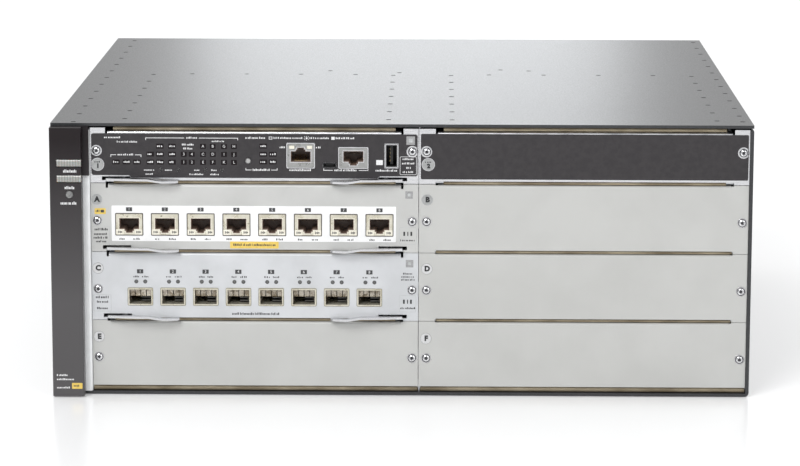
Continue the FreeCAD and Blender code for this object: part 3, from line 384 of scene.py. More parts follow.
# %% Finishes by node
MODULES = ("management", "jack_module", "cage_module")
DRESS = {
    case_paint: ["base_pan", "top_cover", "rear_panel"],
    bezel_plastic: ["front_bezel"],
    lens_plastic: ["status_lenses"],
    gasket_cloth: ["emi_gaskets"],
    zinc_painted_light: ["fan_bay_wall"],
    zinc_steel: ["centre_divider", "slot_shelves", "screw_blocks", "rear_bulkhead",
                 "supply_tunnels", "fan_tray_frame", "supply_1_case", "supply_2_case"],
    board_green: ["backplane"] + [f"{module}_board" for module in MODULES],
    cover_paint: ["blank_slot_b", "blank_slot_d", "blank_slot_e", "blank_slot_f"],
    plate_edge: ["blank_management", "management_carrier"],
    line_paint: ["jack_module_carrier"],
    module_paint: ["cage_module_carrier"],
    bare_steel: ["blank_screws"] + [f"{module}_{part}" for module in MODULES
                                    for part in ("screws", "left_lever", "right_lever")],
    port_metal: ["management_network_jack", "management_console_jack", "management_usb_port",
                 "management_small_usb", "jack_module_jacks", "cage_module_cages"],
    button_plastic: ["mode_button", "module_test_button", "clear_button", "shutdown_button",
                     "reset_button"],
    black_plastic: [f"fan_rotor_{number}" for number in (1, 2, 3, 4)]
    + ["fan_housings", "supply_1_rotor", "supply_2_rotor", "supply_1_inlet", "supply_2_inlet"],
    latch_plastic: ["supply_1_latch", "supply_2_latch"],
}
for paint, names in DRESS.items():
    for name in names:
        slots = nodes[name].data.materials
        slots.clear()
        slots.append(paint)
print(sum(len(names) for names in DRESS.values()), "of", len(nodes), "nodes dressed")

# %% [markdown]
# ## Print on the fronts
#
# Film, legends and badges are printed or glued on in layers a tenth of a millimetre thick.
# A flat curve is the easy way to make such a shape: every closed loop inside another one
# becomes a hole, so a film that is cut round ports and screws is only a list of loops.
# The curve is then turned into a mesh and stood up against its faceplate.

# %% Loops
def loop_box(x, z, wide, high, corner=0.0, steps=5):
    """A rectangle about its centre, in millimetres, with rounded corners if asked."""
    points = []
    for sx, sz, start in ((1, 1, 0), (-1, 1, 90), (-1, -1, 180), (1, -1, 270)):
        cx = x + sx * (wide / 2 - corner)
        cz = z + sz * (high / 2 - corner)
        for step in range(steps + 1 if corner else 1):
            angle = math.radians(start + 90 * step / steps)
            points.append((cx + corner * math.cos(angle), cz + corner * math.sin(angle)))
    return points


def loop_disc(x, z, radius, steps=28):
    """A circle about its centre, in millimetres."""
    angles = [2 * math.pi * k / steps for k in range(steps)]
    return [(x + radius * math.cos(angle), z + radius * math.sin(angle)) for angle in angles]


def frame_loops(x, z, wide, high, step, corner, inner_corner):
    """A rectangle and the hole in it, which is smaller by step."""
    return [loop_box(x, z, wide, high, corner), loop_box(x, z, wide - step, high - step, inner_corner)]


print("a round loop has", len(loop_disc(0, 0, 1)), "points")


# %% Layers and pieces
def evaluated_mesh(obj):
    """The mesh that an object ends up as. The object itself is thrown away."""
    bpy.context.view_layer.update()
    mesh = bpy.data.meshes.new_from_object(obj.evaluated_get(bpy.context.evaluated_depsgraph_get()))
    bpy.data.objects.remove(obj)
    return mesh


def curve_mesh(curve, place, thick):
    """A flat curve stood up and made thick, with its back on the plane of its place."""
    curve.extrude = thick * MM / 2
    mesh = evaluated_mesh(in_scene(curve.name, curve))
    bpy.data.curves.remove(curve)
    middle = place - Vector((0, thick * MM / 2, 0))
    mesh.transform(Matrix.Translation(middle) @ Matrix.Rotation(math.pi / 2, 4, "X"))
    return mesh


def layer_mesh(loops, place, thick):
    """A flat layer of loops about its place, all in millimetres."""
    curve = bpy.data.curves.new("layer", "CURVE")
    curve.dimensions = "2D"
    curve.fill_mode = "BOTH"
    for loop in loops:
        spline = curve.splines.new("POLY")
        spline.points.add(len(loop) - 1)
        for point, (x, z) in zip(spline.points, loop):
            point.co = (x * MM, z * MM, 0, 1)
        spline.use_cyclic_u = True
    return curve_mesh(curve, place, thick)


def glyph_mesh(text, place, high, bold=0.0, thick=0.05):
    """One line of letters or digits, centred on its place, thickened by bold all round."""
    curve = bpy.data.curves.new("glyphs", "FONT")
    curve.body = text
    curve.size = high * MM * 1.38
    curve.align_x = "CENTER"
    curve.align_y = "CENTER"
    curve.resolution_u = 3
    curve.offset = bold * MM
    return curve_mesh(curve, place, thick)


def joined(meshes, name):
    """One mesh made of several, which are used up."""
    whole = bmesh.new()
    for mesh in meshes:
        whole.from_mesh(mesh)
        bpy.data.meshes.remove(mesh)
    made = bpy.data.meshes.new(name)
    whole.to_mesh(made)
    whole.free()
    return made


def piece(name, meshes, paint, body):
    """One piece made of several meshes, with its finish, riding its body."""
    mesh = joined(meshes, name)
    mesh.materials.clear()
    mesh.materials.append(paint)
    for face in mesh.polygons:
        face.material_index = 0
    obj = in_scene(name, mesh)
    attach(obj, body)
    return obj


def sheet(panel, loops, thick, lift=0.0):
    """A layer of loops on a faceplate, lift millimetres off it."""
    return layer_mesh(loops, on(panel, 0, 0, lift), thick)


def dress(panel, name, meshes, paint):
    """A piece that rides along with a faceplate."""
    return piece(name, meshes, paint, rides[panel])


print("helpers for layers and letters ready")

# %% [markdown]
# ## Inks
#
# Print is a thin film with its own slight unevenness. White on charcoal, charcoal on grey
# and one warm yellow are all that this front needs.

# %% Ink finishes
PRINT = 0.05


def ink(name, dark, light, grain=0.6, **more):
    """A finish for print: hardly any relief, and a satin gloss."""
    return finish(name, dark, light, grain, depth=0.004, **more)


ink_white = ink("ink_white", (0.72, 0.72, 0.72), (0.86, 0.86, 0.86))
ink_field = ink("ink_field", (0.86, 0.86, 0.855), (0.92, 0.92, 0.915), 8)
ink_grey = ink("ink_grey", (0.035, 0.035, 0.037), (0.06, 0.06, 0.062))
ink_dark = ink("ink_dark", (0.010, 0.010, 0.011), (0.02, 0.02, 0.021))
ink_soft = ink("ink_soft", (0.28, 0.28, 0.28), (0.38, 0.38, 0.38))
ink_window = ink("ink_window", (0.009, 0.006, 0.007), (0.014, 0.010, 0.011), 0.8,
                 gloss=(0.3, 0.4), specular=0.15)
ink_yellow = ink("ink_yellow", (0.74, 0.52, 0.10), (0.81, 0.59, 0.14), 1.5)
ink_pale = ink("ink_pale", (0.44, 0.45, 0.45), (0.54, 0.55, 0.55), 2.0)
print("inks mixed")

# %% [markdown]
# ## Words that say nothing
#
# Beside each window and port stands a tiny word. We keep its place and its weight but not
# its letters: a row of short upright bars, as wide as letters are, reads as small print
# from a step away. The bars come from a seeded draw, so they are the same every time.

# %% Bars for small print
draw = random.Random(41)


def word_bars(x0, x1, z, high=1.15):
    """Loops for a run of letter-sized bars from x0 to x1, centred on height z."""
    bars = []
    x = x0
    while x < x1 - 0.4:
        wide = draw.uniform(0.42, 0.78)
        tall = high * draw.choice((0.72, 0.72, 1.0))
        bars.append(loop_box(x + wide / 2, z + (tall - high * 0.8) / 2, wide, tall))
        x += wide + draw.choice((0.3, 0.3, 0.34, 0.3, 0.75))
    return bars


def words(rows):
    """Bars for many words, each row giving from, to, height and letter height."""
    return [bar for row in rows for bar in word_bars(*row)]


def rule(x0, x1, z, tick0=0.0, tick1=0.0, thick=0.38):
    """Loops for a thin level line with an upright tick at either end."""
    bars = [loop_box((x0 + x1) / 2, z, abs(x1 - x0), thick)]
    for x, tick in ((x0 + thick / 2, tick0), (x1 - thick / 2, tick1)):
        if tick:
            bars.append(loop_box(x, z + tick / 2 + math.copysign(thick / 2, tick), thick, abs(tick)))
    return bars


print("a sample word has", len(word_bars(0, 8, 0)), "bars")

# %% [markdown]
# ## The management front
#
# A charcoal film covers the bright faceplate and stops short of its folded edges, so a line
# of bare steel frames it. It is cut out round the screws, the badge, the ports and the
# buttons. Everything on it is placed from the plate's lower left corner, and the cuts
# for ports and for the big button take their size from the CAD boxes.

# %% Charcoal film
FILM = 0.12
FILM_TOP, FILM_FOOT, FILM_DIP = 30.0, 3.2, 1.7
FILM_LEFT, FILM_RIGHT, CHAMFER = 0.7, MODULE_WIDE - 0.6, 0.9
DIP_START, DIP_END = 24.4, 26.2
SCREW_INSET, SCREW_Z, LINE_SCREW_Z = 3.9, 19.0, 18.5
SCREW_RIGHT = MODULE_WIDE - SCREW_INSET
BUTTON_FLANGE, BUTTON_ROOM = 0.8, 0.25
SMALL_BUTTONS = (44.5, 55.7, 72.6, 83.6)
PORT_ROOM = {"management_network_jack": 0.35, "management_console_jack": 0.35,
             "management_usb_port": 0.5, "management_small_usb": 0.3}


def box_on(panel, node):
    """A node's middle and size on a faceplate, in millimetres: x, z, width, height."""
    low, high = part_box(node)
    start = corners[panel]
    return (((low.x + high.x) / 2 - start.x) / MM, ((low.z + high.z) / 2 - start.z) / MM,
            (high.x - low.x) / MM, (high.z - low.z) / MM)


film_edge = [(FILM_LEFT + CHAMFER, FILM_FOOT), (DIP_START, FILM_FOOT), (DIP_END, FILM_DIP),
             (MODULE_WIDE - DIP_END, FILM_DIP), (MODULE_WIDE - DIP_START, FILM_FOOT),
             (FILM_RIGHT - CHAMFER, FILM_FOOT), (FILM_RIGHT, FILM_FOOT + CHAMFER),
             (FILM_RIGHT, FILM_TOP - CHAMFER), (FILM_RIGHT - CHAMFER, FILM_TOP),
             (FILM_LEFT + CHAMFER, FILM_TOP), (FILM_LEFT, FILM_TOP - CHAMFER),
             (FILM_LEFT, FILM_FOOT + CHAMFER)]
film_cuts = [loop_disc(SCREW_INSET, SCREW_Z, 3.5), loop_disc(SCREW_RIGHT, SCREW_Z, 3.7),
             loop_disc(4.6, 10.1, 4.2)]
for node, room in PORT_ROOM.items():
    x, z, wide, high = box_on("management", node)
    film_cuts.append(loop_box(x, z, wide + 2 * room, high + 2 * room, 0.5))
x, z, wide, high = box_on("management", "mode_button")
film_cuts.append(loop_disc(x, z, wide / 2 - BUTTON_FLANGE + BUTTON_ROOM))
film_cuts += [loop_disc(x, 7.0, 1.15) for x in SMALL_BUTTONS]
film = dress("management", "management_film", [sheet("management", [film_edge] + film_cuts, FILM)],
             film_charcoal)
blank_loops = [loop_box(MODULE_WIDE / 2 - 0.3, 15.9, MODULE_WIDE - 0.9, 29.1, 0.8),
               loop_disc(3.7, SCREW_Z, 3.6), loop_disc(SCREW_RIGHT, SCREW_Z, 3.6), loop_disc(4.9, 10.8, 4.2)]
dress("blank_m", "blank_management_film", [sheet("blank_m", blank_loops, FILM)],
      film_charcoal)
print("film:", len(film.data.polygons), "faces,", len(film_cuts), "cuts")

# %% [markdown]
# ## Windows and legends
#
# Small dark windows carry a word or a letter each, in three rows. The legends round them
# are words, brackets that tie a group to its word, and a few signs. The tables give each
# one's start, end and height, so that moving one is a change of a number.

# %% Status windows and their marks
ROW_HIGH, ROW_MIDDLE, ROW_LOW = 21.9, 16.8, 11.7
WORD_WINDOWS = [(16.3, ROW_LOW), (22.9, ROW_LOW), (29.6, ROW_LOW), (38.1, ROW_MIDDLE), (38.1, ROW_LOW)]
WORD_WINDOWS += [(x, z) for x in (44.2, 51.9) for z in (ROW_HIGH, ROW_MIDDLE, ROW_LOW)]
WORD_WINDOWS += [(109.6, 22.2), (109.6, 17.0), (109.6, 12.1), (115.7, 17.0), (115.7, 12.1)]
LETTER_WINDOWS = {"3": (59.3, ROW_MIDDLE), "4": (64.4, ROW_MIDDLE),
                  "1": (59.3, ROW_LOW), "2": (64.4, ROW_LOW)}
for z, letters in ((ROW_HIGH, "ABGH"), (ROW_MIDDLE, "CDIJ"), (ROW_LOW, "EFKL")):
    for x, letter in zip((71.5, 77.7, 84.8, 91.1), letters):
        LETTER_WINDOWS[letter] = (x, z)
windows = [loop_box(x, z, 4.7, 3.1, 0.3) for x, z in WORD_WINDOWS]
windows += [loop_box(x, z, 3.7, 3.2, 0.3) for x, z in LETTER_WINDOWS.values()]
dress("management", "status_windows", [sheet("management", windows, PRINT, FILM)], ink_window)
marks = [glyph_mesh(letter, on("management", x, z, FILM + PRINT), 1.75)
         for letter, (x, z) in LETTER_WINDOWS.items()]
small_words = words([(x - 1.7, x + 1.8, z, 1.2) for x, z in WORD_WINDOWS])
marks.append(sheet("management", small_words, PRINT, FILM + PRINT))
dress("management", "status_marks", marks, ink_white)
print(len(windows), "windows,", len(LETTER_WINDOWS), "with letters or digits")

# %% Legends on the film
LEGEND_WORDS = [
    (17.0, 30.8, 24.6), (9.0, 19.3, 27.4), (17.4, 27.4, 16.4), (61.0, 68.0, 27.3),
    (77.1, 85.0, 25.1, 1.0), (58.2, 65.4, 22.9), (59.0, 64.6, 20.4), (34.0, 40.9, 6.6, 1.0),
    (47.3, 51.7, 6.6, 1.0), (65.8, 69.2, 6.6, 1.0), (76.7, 79.9, 6.6, 1.0), (35.0, 40.0, 4.0, 1.0),
    (62.8, 72.0, 3.9, 1.0), (75.9, 81.2, 3.9, 1.0), (98.4, 111.3, 27.4, 1.3), (116.2, 134.1, 27.4, 1.2),
    (138.8, 151.5, 27.4, 1.2), (155.5, 167.1, 27.4, 1.2), (102.9, 113.8, 6.9, 1.3),
    (120.0, 123.5, 21.4, 1.1), (142.9, 146.0, 21.4, 1.1), (126.1, 140.2, 6.9, 1.3),
    (180.7, 195.2, 6.8, 1.3), (154.6, 169.0, 6.9, 1.3), (197.8, 205.0, 14.2, 1.2),
    (197.4, 205.4, 11.4, 1.2), (200.2, 202.9, 8.7, 1.6), (197.9, 205.0, 5.9, 1.2),
]
BRACKETS = [(12.9, 16.4, 28.4, 32.4, 16.3, -1.2), (35.1, 59.7, 68.9, 93.7, 27.2, -1.1),
            (98.4, 102.2, 114.6, 118.6, 6.9, 1.0), (147.7, 153.6, 170.1, 176.1, 6.9, 1.0)]
SIGN_Z = 27.4
SUN_X = 137.1
SUN_RAYS = ((-1.2, -1), (1.2, -1), (-1.2, 1), (1.2, 1), (0, 1.3), (0, -1.3), (1.5, 0), (-1.5, 0))
legend = words(LEGEND_WORDS)
for left0, left1, right0, right1, z, tick in BRACKETS:
    legend += rule(left0, left1, z, tick0=tick) + rule(right0, right1, z, tick1=tick)
legend += [loop_box(114.3, SIGN_Z, 2.2, 1.8), loop_box(114.3, SIGN_Z, 1.5, 1.1),
           loop_box(SUN_X, SIGN_Z, 1.1, 1.1), loop_box(153.8, SIGN_Z, 2.1, 1.9)]
legend += [loop_box(SUN_X + dx, SIGN_Z + dz * 0.9, 0.42, 0.42) for dx, dz in SUN_RAYS]
legend.append(loop_box(183.2, 12.0, 4.2, 3.2, 0.3))
legend += frame_loops(201.4, 10.0, 10.6, 11.7, 0.5, 0.8, 0.6)
dress("management", "management_legends", [sheet("management", legend, PRINT, FILM)],
      ink_white)
print(len(legend), "printed marks")

# %% [markdown]
# ## Badges
#
# Every slot has a round badge with its letter. On the real case they are stamped bosses
# that stand a little proud, so each is a turned disc with a soft rim, and the letter lies
# on top. Slot letters and the two management numbers are generic, so they stay.

# %% Turned parts
def solid(build, name):
    """The mesh of a closed solid, with its faces turned outward."""
    bmesh.ops.recalc_face_normals(build, faces=build.faces)
    made = bpy.data.meshes.new(name)
    build.to_mesh(made)
    build.free()
    return made


def turned(profile, place=ORIGIN, steps=32, lobes=None):
    """A solid of revolution round the y axis. The profile holds (radius, proud) in millimetres
    from rim to middle, and lobes may wave some radii: {row: (count, share)}."""
    rings = []
    build = bmesh.new()
    for row, (radius, proud) in enumerate(profile):
        ring = []
        for k in range(steps):
            angle = 2 * math.pi * k / steps
            reach = radius
            if lobes and row in lobes:
                count, share = lobes[row]
                reach *= 1 + share * math.cos(count * angle)
            point = Vector((reach * math.cos(angle), -proud, reach * math.sin(angle)))
            ring.append(build.verts.new(place + point * MM))
        rings.append(ring)
    for outer, inner in zip(rings, rings[1:]):
        for k in range(steps):
            build.faces.new((outer[k], outer[(k + 1) % steps], inner[(k + 1) % steps], inner[k]))
    build.faces.new(rings[-1])
    build.faces.new(list(reversed(rings[0])))
    return solid(build, "turned")


print("turned parts ready")

# %% Badges
BADGES = {
    "management": (4.6, 10.1, 3.8, "1"), "jacks": (3.7, 32.0, 3.4, "A"), "cages": (3.9, 31.9, 3.4, "C"),
    "blank_m": (4.9, 10.8, 3.8, "2"), "blank_b": (4.3, 32.6, 3.4, "B"), "blank_d": (4.2, 32.3, 3.4, "D"),
    "blank_e": (4.1, 31.6, 3.4, "E"), "blank_f": (3.7, 31.3, 3.4, "F"),
}
NUMBERED = ("management", "blank_m")
METAL_BADGES = NUMBERED + ("jacks", "blank_b")
BADGE_FACE = 0.26
badge_metal = finish("badge_metal", (0.38, 0.385, 0.38), (0.46, 0.465, 0.46), 3.0, gloss=(0.3, 0.42),
                     metal=0.5, depth=0.006)
badge_pale = finish("badge_pale", (0.60, 0.60, 0.60), (0.70, 0.70, 0.70), 0.9, gloss=(0.35, 0.45),
                    metal=0.2, depth=0.008)
for panel, (x, z, radius, letter) in BADGES.items():
    metal = panel in METAL_BADGES
    rim = [(radius, 0.0), (radius, 0.28), (radius - 0.12, 0.4), (radius - 0.45, 0.4),
           (radius - 0.6, BADGE_FACE), (radius * 0.3, BADGE_FACE)]
    dress(panel, f"badge_{panel}", [turned(rim, on(panel, x, z))],
          badge_metal if metal else badge_pale)
    ring = [loop_disc(x, z, radius + 0.16), loop_disc(x, z, radius - 0.1)]
    dress(panel, f"badge_ring_{panel}", [sheet(panel, ring, 0.2)],
          bare_steel if metal else ink_soft)
    drop, letter_high = (1.0, 2.6) if panel in NUMBERED else (0.0, 3.3)
    glyphs = [glyph_mesh(letter, on(panel, x + 0.2, z - drop, BADGE_FACE), letter_high, bold=0.28)]
    if panel in NUMBERED:
        glyphs.append(sheet(panel, word_bars(x - 2.1, x + 2.2, z + 1.6, 1.0), PRINT, BADGE_FACE))
    dress(panel, f"badge_letter_{panel}", glyphs, ink_dark)
print(len(BADGES), "badges")

# %% [markdown]
# ## Button caps
#
# A button here is a dark round moulding with a low dome in its middle, which is all that
# the light picks out. A dome is turned for the front of each CAD button and rides on it.
# The big button's dome is light grey, and the four small ones are nearly black.

# %% Button caps
BUTTONS = ("mode_button", "module_test_button", "clear_button", "shutdown_button", "reset_button")
cap_grey = finish("cap_grey", (0.30, 0.30, 0.29), (0.42, 0.42, 0.41), 1.2, gloss=(0.2, 0.3), depth=0.01)
cap_dark = finish("cap_dark", (0.05, 0.048, 0.048), (0.08, 0.077, 0.077), 1.2, gloss=(0.2, 0.3), depth=0.01)
for button in BUTTONS:
    low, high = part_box(button)
    stem = (high.x - low.x) / 2 / MM - BUTTON_FLANGE
    reach = stem * 0.9
    dome = [(reach, -0.2), (reach, 0.05), (reach * 0.75, 0.25), (reach * 0.4, 0.36), (reach * 0.1, 0.4)]
    place = Vector(((low.x + high.x) / 2, low.y, (low.z + high.z) / 2))
    piece(button + "_cap", [turned(dome, place, 24)], cap_grey if button == "mode_button" else cap_dark,
          button)
    print(button, round(2 * stem, 2), "mm across")

# %% [markdown]
# ## Screws
#
# The captive screws were plain faceted discs in CAD. Seen close they have a flat rim, a
# dished face and a six-lobed socket, and the light on that dish is what the eye catches.
# The turned part above makes them: one row of radii is waved six times for the lobes. The
# groove and the floor of the socket are painted near black for the shade in them. The
# new screws stand for the CAD ones, which stay behind for the physics.

# %% Captive screws
SCREW_HOSTS = {
    "management_screws": ["management"], "jack_module_screws": ["jacks"], "cage_module_screws": ["cages"],
    "blank_screws": ["blank_m", "blank_b", "blank_d", "blank_e", "blank_f"],
}
FLANGE = [(3.1, 0.0), (3.1, 0.3), (2.95, 0.42), (2.7, 0.42), (2.65, 0.2)]
GROOVE = [(2.66, 0.1), (2.66, 0.3), (2.2, 0.24), (2.1, 0.2)]
DOME = [(2.25, 0.1), (2.25, 0.6), (2.0, 0.98), (1.5, 1.24), (1.2, 1.24), (1.05, 0.7), (0.3, 0.65)]
SOCKET = [(1.04, 0.64), (0.98, 0.72), (0.3, 0.7)]
SHANK = [(1.6, -10.8), (1.75, -10.3), (1.75, 0.0), (1.0, 0.05)]
DOME_LOBES = {4: (6, 0.1), 5: (6, 0.14)}
# painted shade: near black steel for the groove round each screw dome, the floor of each socket and the small
# port's tube
steel_painted_shade = finish("steel_painted_shade", (0.03, 0.03, 0.033), (0.07, 0.07, 0.075), 0.5, gloss=(0.3, 0.45),
                      metal=0.6, depth=0.01)
for node, panels in SCREW_HOSTS.items():
    screws, grooves = [], []
    for panel in panels:
        for x in (SCREW_INSET, SCREW_RIGHT):
            seat = on(panel, x, SCREW_Z if panel in NUMBERED else LINE_SCREW_Z)
            screws += [turned(FLANGE, seat, 36), turned(DOME, seat, 36, DOME_LOBES)]
            screws.append(turned(SHANK, seat, 16))
            grooves += [turned(GROOVE, seat, 30), turned(SOCKET, seat, 18)]
    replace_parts(dress(panel, node + "_turned", screws, bare_steel), node)
    dress(panel, node + "_grooves", grooves, steel_painted_shade)
    print(node, "stand on", len(panels), "plates")

# %% [markdown]
# ## Prisms
#
# Most small parts of a switch are sheet or moulding of one section: springs, contacts,
# blocks, strips. One helper pushes a section sideways across the front, another makes a
# plain block from its six faces, and both count in millimetres from a place.

# %% Prisms
def prism(points, sweep):
    """A solid from a flat outline of points pushed along a vector."""
    build = bmesh.new()
    start = [build.verts.new(point) for point in points]
    end = [build.verts.new(point + sweep) for point in points]
    build.faces.new(start)
    build.faces.new(list(reversed(end)))
    for k in range(len(points)):
        build.faces.new((start[k], start[k - 1], end[k - 1], end[k]))
    return solid(build, "prism")


def across(origin, x0, x1, section):
    """A section of (back, up) points pushed from x0 to x1, in millimetres from the origin."""
    points = [origin + Vector((x0, y, z)) * MM for y, z in section]
    return prism(points, Vector(((x1 - x0) * MM, 0, 0)))


def block(origin, x0, x1, y0, y1, z0, z1):
    """A block between two corners, in millimetres from the origin."""
    return across(origin, x0, x1, [(y0, z0), (y1, z0), (y1, z1), (y0, z1)])


print("prisms ready")

# %% [markdown]
# ## Wire jacks
#
# A shielded jack is a folded metal can round a dark moulding. Its mouth is a rectangle with
# a stepped notch for the plug's latch, eight gold wires slope down from its roof, and two
# light pipes fill the corners beside the notch. The can, the moulding, the wires and the
# pipes are separate pieces here as they are in the real jack, because each has its own look.

# %% Jack mouths and cans
light_pipe = finish("light_pipe", (0.78, 0.74, 0.62), (0.86, 0.83, 0.72), 1.5,
                    gloss=(0.25, 0.35), depth=0.004)
mouth_brown = finish("mouth_brown", (0.16, 0.11, 0.085), (0.24, 0.165, 0.13), 1.5,
                     gloss=(0.3, 0.42), depth=0.01)
gap_shade_brown = finish("gap_shade_brown", (0.05, 0.04, 0.03), (0.08, 0.065, 0.05), 1.5, depth=0.005)
LATCH_HALF, LATCH_NECK, LATCH_STEP = 3.1, 2.2, 1.2
WIRES, WIRE_PITCH, WIRE_HALF = 8, 1.02, 0.19
WALL, BACK_WALL, BLOCK_DEEP = 0.4, 0.6, 5.4


def mouth_loop(x, z, wide, tall, notch, grow=0.0):
    """A jack's mouth about its centre. The notch is down for -1 and up for 1."""
    half, edge = wide / 2 + grow, tall / 2 + grow
    outer, neck = LATCH_HALF + grow, LATCH_NECK + grow
    steps = [(-half, edge), (-half, -edge), (-outer, -edge), (-outer, -edge - LATCH_STEP),
             (-neck, -edge - LATCH_STEP), (-neck, -edge - 2 * LATCH_STEP)]
    steps += [(-dx, dz) for dx, dz in reversed(steps)]
    return [(x + dx, z - notch * dz) for dx, dz in steps]


def reach_of(node):
    """How far a node stands in front of the faceplates, and its depth, in millimetres."""
    low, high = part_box(node)
    return (plate_front - low.y) / MM, (high.y - low.y) / MM


def jack_parts(panel, node, mouths, outlines):
    """The cans, mouldings and wires of the jacks that one CAD node stands for."""
    proud, deep = reach_of(node)
    cans = [sheet(panel, outlines + [mouth_loop(*mouth) for mouth in mouths], deep, proud - deep)]
    mouldings, wires = [], []
    for x, z, wide, tall, notch in mouths:
        lining = [mouth_loop(x, z, wide, tall, notch, grow) for grow in (-0.02, -0.02 - WALL)]
        mouldings.append(sheet(panel, lining, deep - 0.9, proud - deep + 0.3))
        mouldings.append(block(on(panel, x, z, proud), -wide / 2, wide / 2, deep - BACK_WALL - BLOCK_DEEP,
                               deep - BACK_WALL, -tall / 2 - 2.3, tall / 2 + 2.3))
        roof, fall = -notch * (tall / 2 - 0.45), notch * 3.0
        section = [(2.6, roof), (10.5, roof + fall), (10.8, roof + fall * 0.92), (2.8, roof + notch * 0.3)]
        for k in range(WIRES):
            side = (k - (WIRES - 1) / 2) * WIRE_PITCH
            wires.append(across(on(panel, x + side, z, proud), -WIRE_HALF, WIRE_HALF, section))
    return cans, mouldings, wires


def mouth_edges(panel, mouths, proud):
    """A bright lip round each mouth."""
    return [sheet(panel, [mouth_loop(*mouth, 0.42), mouth_loop(*mouth)], 0.12, proud) for mouth in mouths]


print("a mouth has", len(mouth_loop(0, 0, 12.7, 7.1, -1)), "corners")

# %% Eight line jacks
FIRST_JACK, JACK_PITCH, JACK_MIDDLE = 24.2, 22.72, 16.0
PIPE_SIDE, PIPE_Z, PIPE_LIFT, PIPE_THICK = 5.9, 11.15, 0.2, 0.35
PIPE_MARKS = ((-1.1, 0.5, 1.5), (-0.35, 0.4, 1.1), (0.3, 0.5, 1.5), (1.05, 0.6, 1.0))
jack_centres = [FIRST_JACK + n * JACK_PITCH for n in range(8)]
mouths = [(x, 16.45, 12.7, 7.1, -1) for x in jack_centres]
outlines = [loop_box(x, JACK_MIDDLE, 17.0, 13.7, 0.35) for x in jack_centres]
cans, mouldings, wires = jack_parts("jacks", "jack_module_jacks", mouths, outlines)
jack_proud, jack_deep = reach_of("jack_module_jacks")
pipe_places = [x + side * PIPE_SIDE for x in jack_centres for side in (-1, 1)]
pipes = [sheet("jacks", [loop_box(x, PIPE_Z, 4.9, 3.5, 0.4)], PIPE_THICK, PIPE_LIFT) for x in pipe_places]
pipe_marks = [loop_box(x + dx, 11.1, wide, high, 0.1) for x in pipe_places for dx, wide, high in PIPE_MARKS]
# painted shade: a dark ring round each jack stands for the shade in the gap between the can and the plate
gap_shade = [sheet("jacks", frame_loops(x, JACK_MIDDLE, 17.7, 14.4, 1.0, 0.6, 0.35), 0.32) for x in jack_centres]
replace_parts(dress("jacks", "line_jack_cans", cans, port_metal), "jack_module_jacks")
dress("jacks", "line_jack_mouldings", mouldings, mouth_brown)
dress("jacks", "line_jack_wires", wires, gold_plate)
dress("jacks", "line_jack_lips", mouth_edges("jacks", mouths, jack_proud), light_pipe)
dress("jacks", "line_jack_pipes", pipes, light_pipe)
dress("jacks", "line_jack_gap_shade", gap_shade, gap_shade_brown)
print(len(jack_centres), "jacks,", round(jack_deep, 1), "mm deep, with", len(wires), "wires")

# %% [markdown]
# ## Ports of the management module
#
# The network jack has its notch above and the console jack below, and both sit in a bright
# steel rim. The two serial ports are thin metal tubes with a tongue, a dark plug at the back and a
# dark sheet inside the tube, which is painted shade. All take their place and size from their
# CAD boxes, because each has a hole to fill.

# %% Network and console jacks
MANAGEMENT_JACKS = {"network": (-0.6, 1, 1.0), "console": (0.9, -1, 0.7)}
for name, (drop, notch, corner) in MANAGEMENT_JACKS.items():
    node = f"management_{name}_jack"
    x, z, wide, high = box_on("management", node)
    mouth = [(x, z + drop, 12.8, 6.9, notch)]
    cans, mouldings, wires = jack_parts("management", node, mouth, [loop_box(x, z, wide, high, corner)])
    rim = sheet("management", frame_loops(x, z, wide + 0.5, high + 0.5, 0.9, corner, corner), 0.4, 0.1)
    lip = mouth_edges("management", mouth, reach_of(node)[0])
    dress("management", f"{name}_jack_rim", [rim] + lip, bare_steel)
    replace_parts(dress("management", f"{name}_jack_can", cans, shell_steel), node)
    dress("management", f"{name}_jack_moulding", mouldings, mouth_brown)
    dress("management", f"{name}_jack_wires", wires, gold_plate)
    print(name, "jack", round(wide, 1), "by", round(high, 1))
x, z, wide, high = box_on("management", "management_network_jack")
pipes = [sheet("management", [loop_box(x + side * 5.6, z + high / 2 - 2.5, 3.2, 2.0, 0.3)], 0.45, 0.1)
         for side in (-1, 1)]
dress("management", "network_jack_pipes", pipes, light_pipe)


# %% Serial ports
def port_shell(name, node, wall, paint):
    """A thin tube round a port's CAD box, which it replaces. Gives a dark sheet inside the tube, painted
    shade, and a dark plug across its back.
    """
    x, z, wide, high = box_on("management", node)
    proud, deep = reach_of(node)
    loops = [loop_box(x, z, wide - 2 * step, high - 2 * step, 0.4) for step in (0, wall, 2 * wall)]
    tube = sheet("management", loops[:2], deep, proud - deep)
    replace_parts(dress("management", name, [tube], paint), node)
    # painted shade: a dark sheet inside the tube darkens the port, and a dark plug closes its back
    return [sheet("management", loops[1:], deep - BACK_WALL, proud - deep),
            sheet("management", [loops[1]], 1.0, proud - deep)]


lining = port_shell("usb_shell", "management_usb_port", 0.45, bare_steel)
x, z, wide, high = box_on("management", "management_usb_port")
mouth = on("management", x, z, reach_of("management_usb_port")[0])
tongue = block(mouth, -0.9, 0.9, 4.2, 16.0, -high / 2 + 1.6, high / 2 - 1.6)
pins = [block(mouth, -1.05, -0.88, 5.0, 13.5, dz - 0.5, dz + 0.5) for dz in (-3.6, -1.2, 1.2, 3.6)]
dress("management", "usb_tongue", lining + [tongue], black_plastic)
dress("management", "usb_pins", pins, gold_plate)
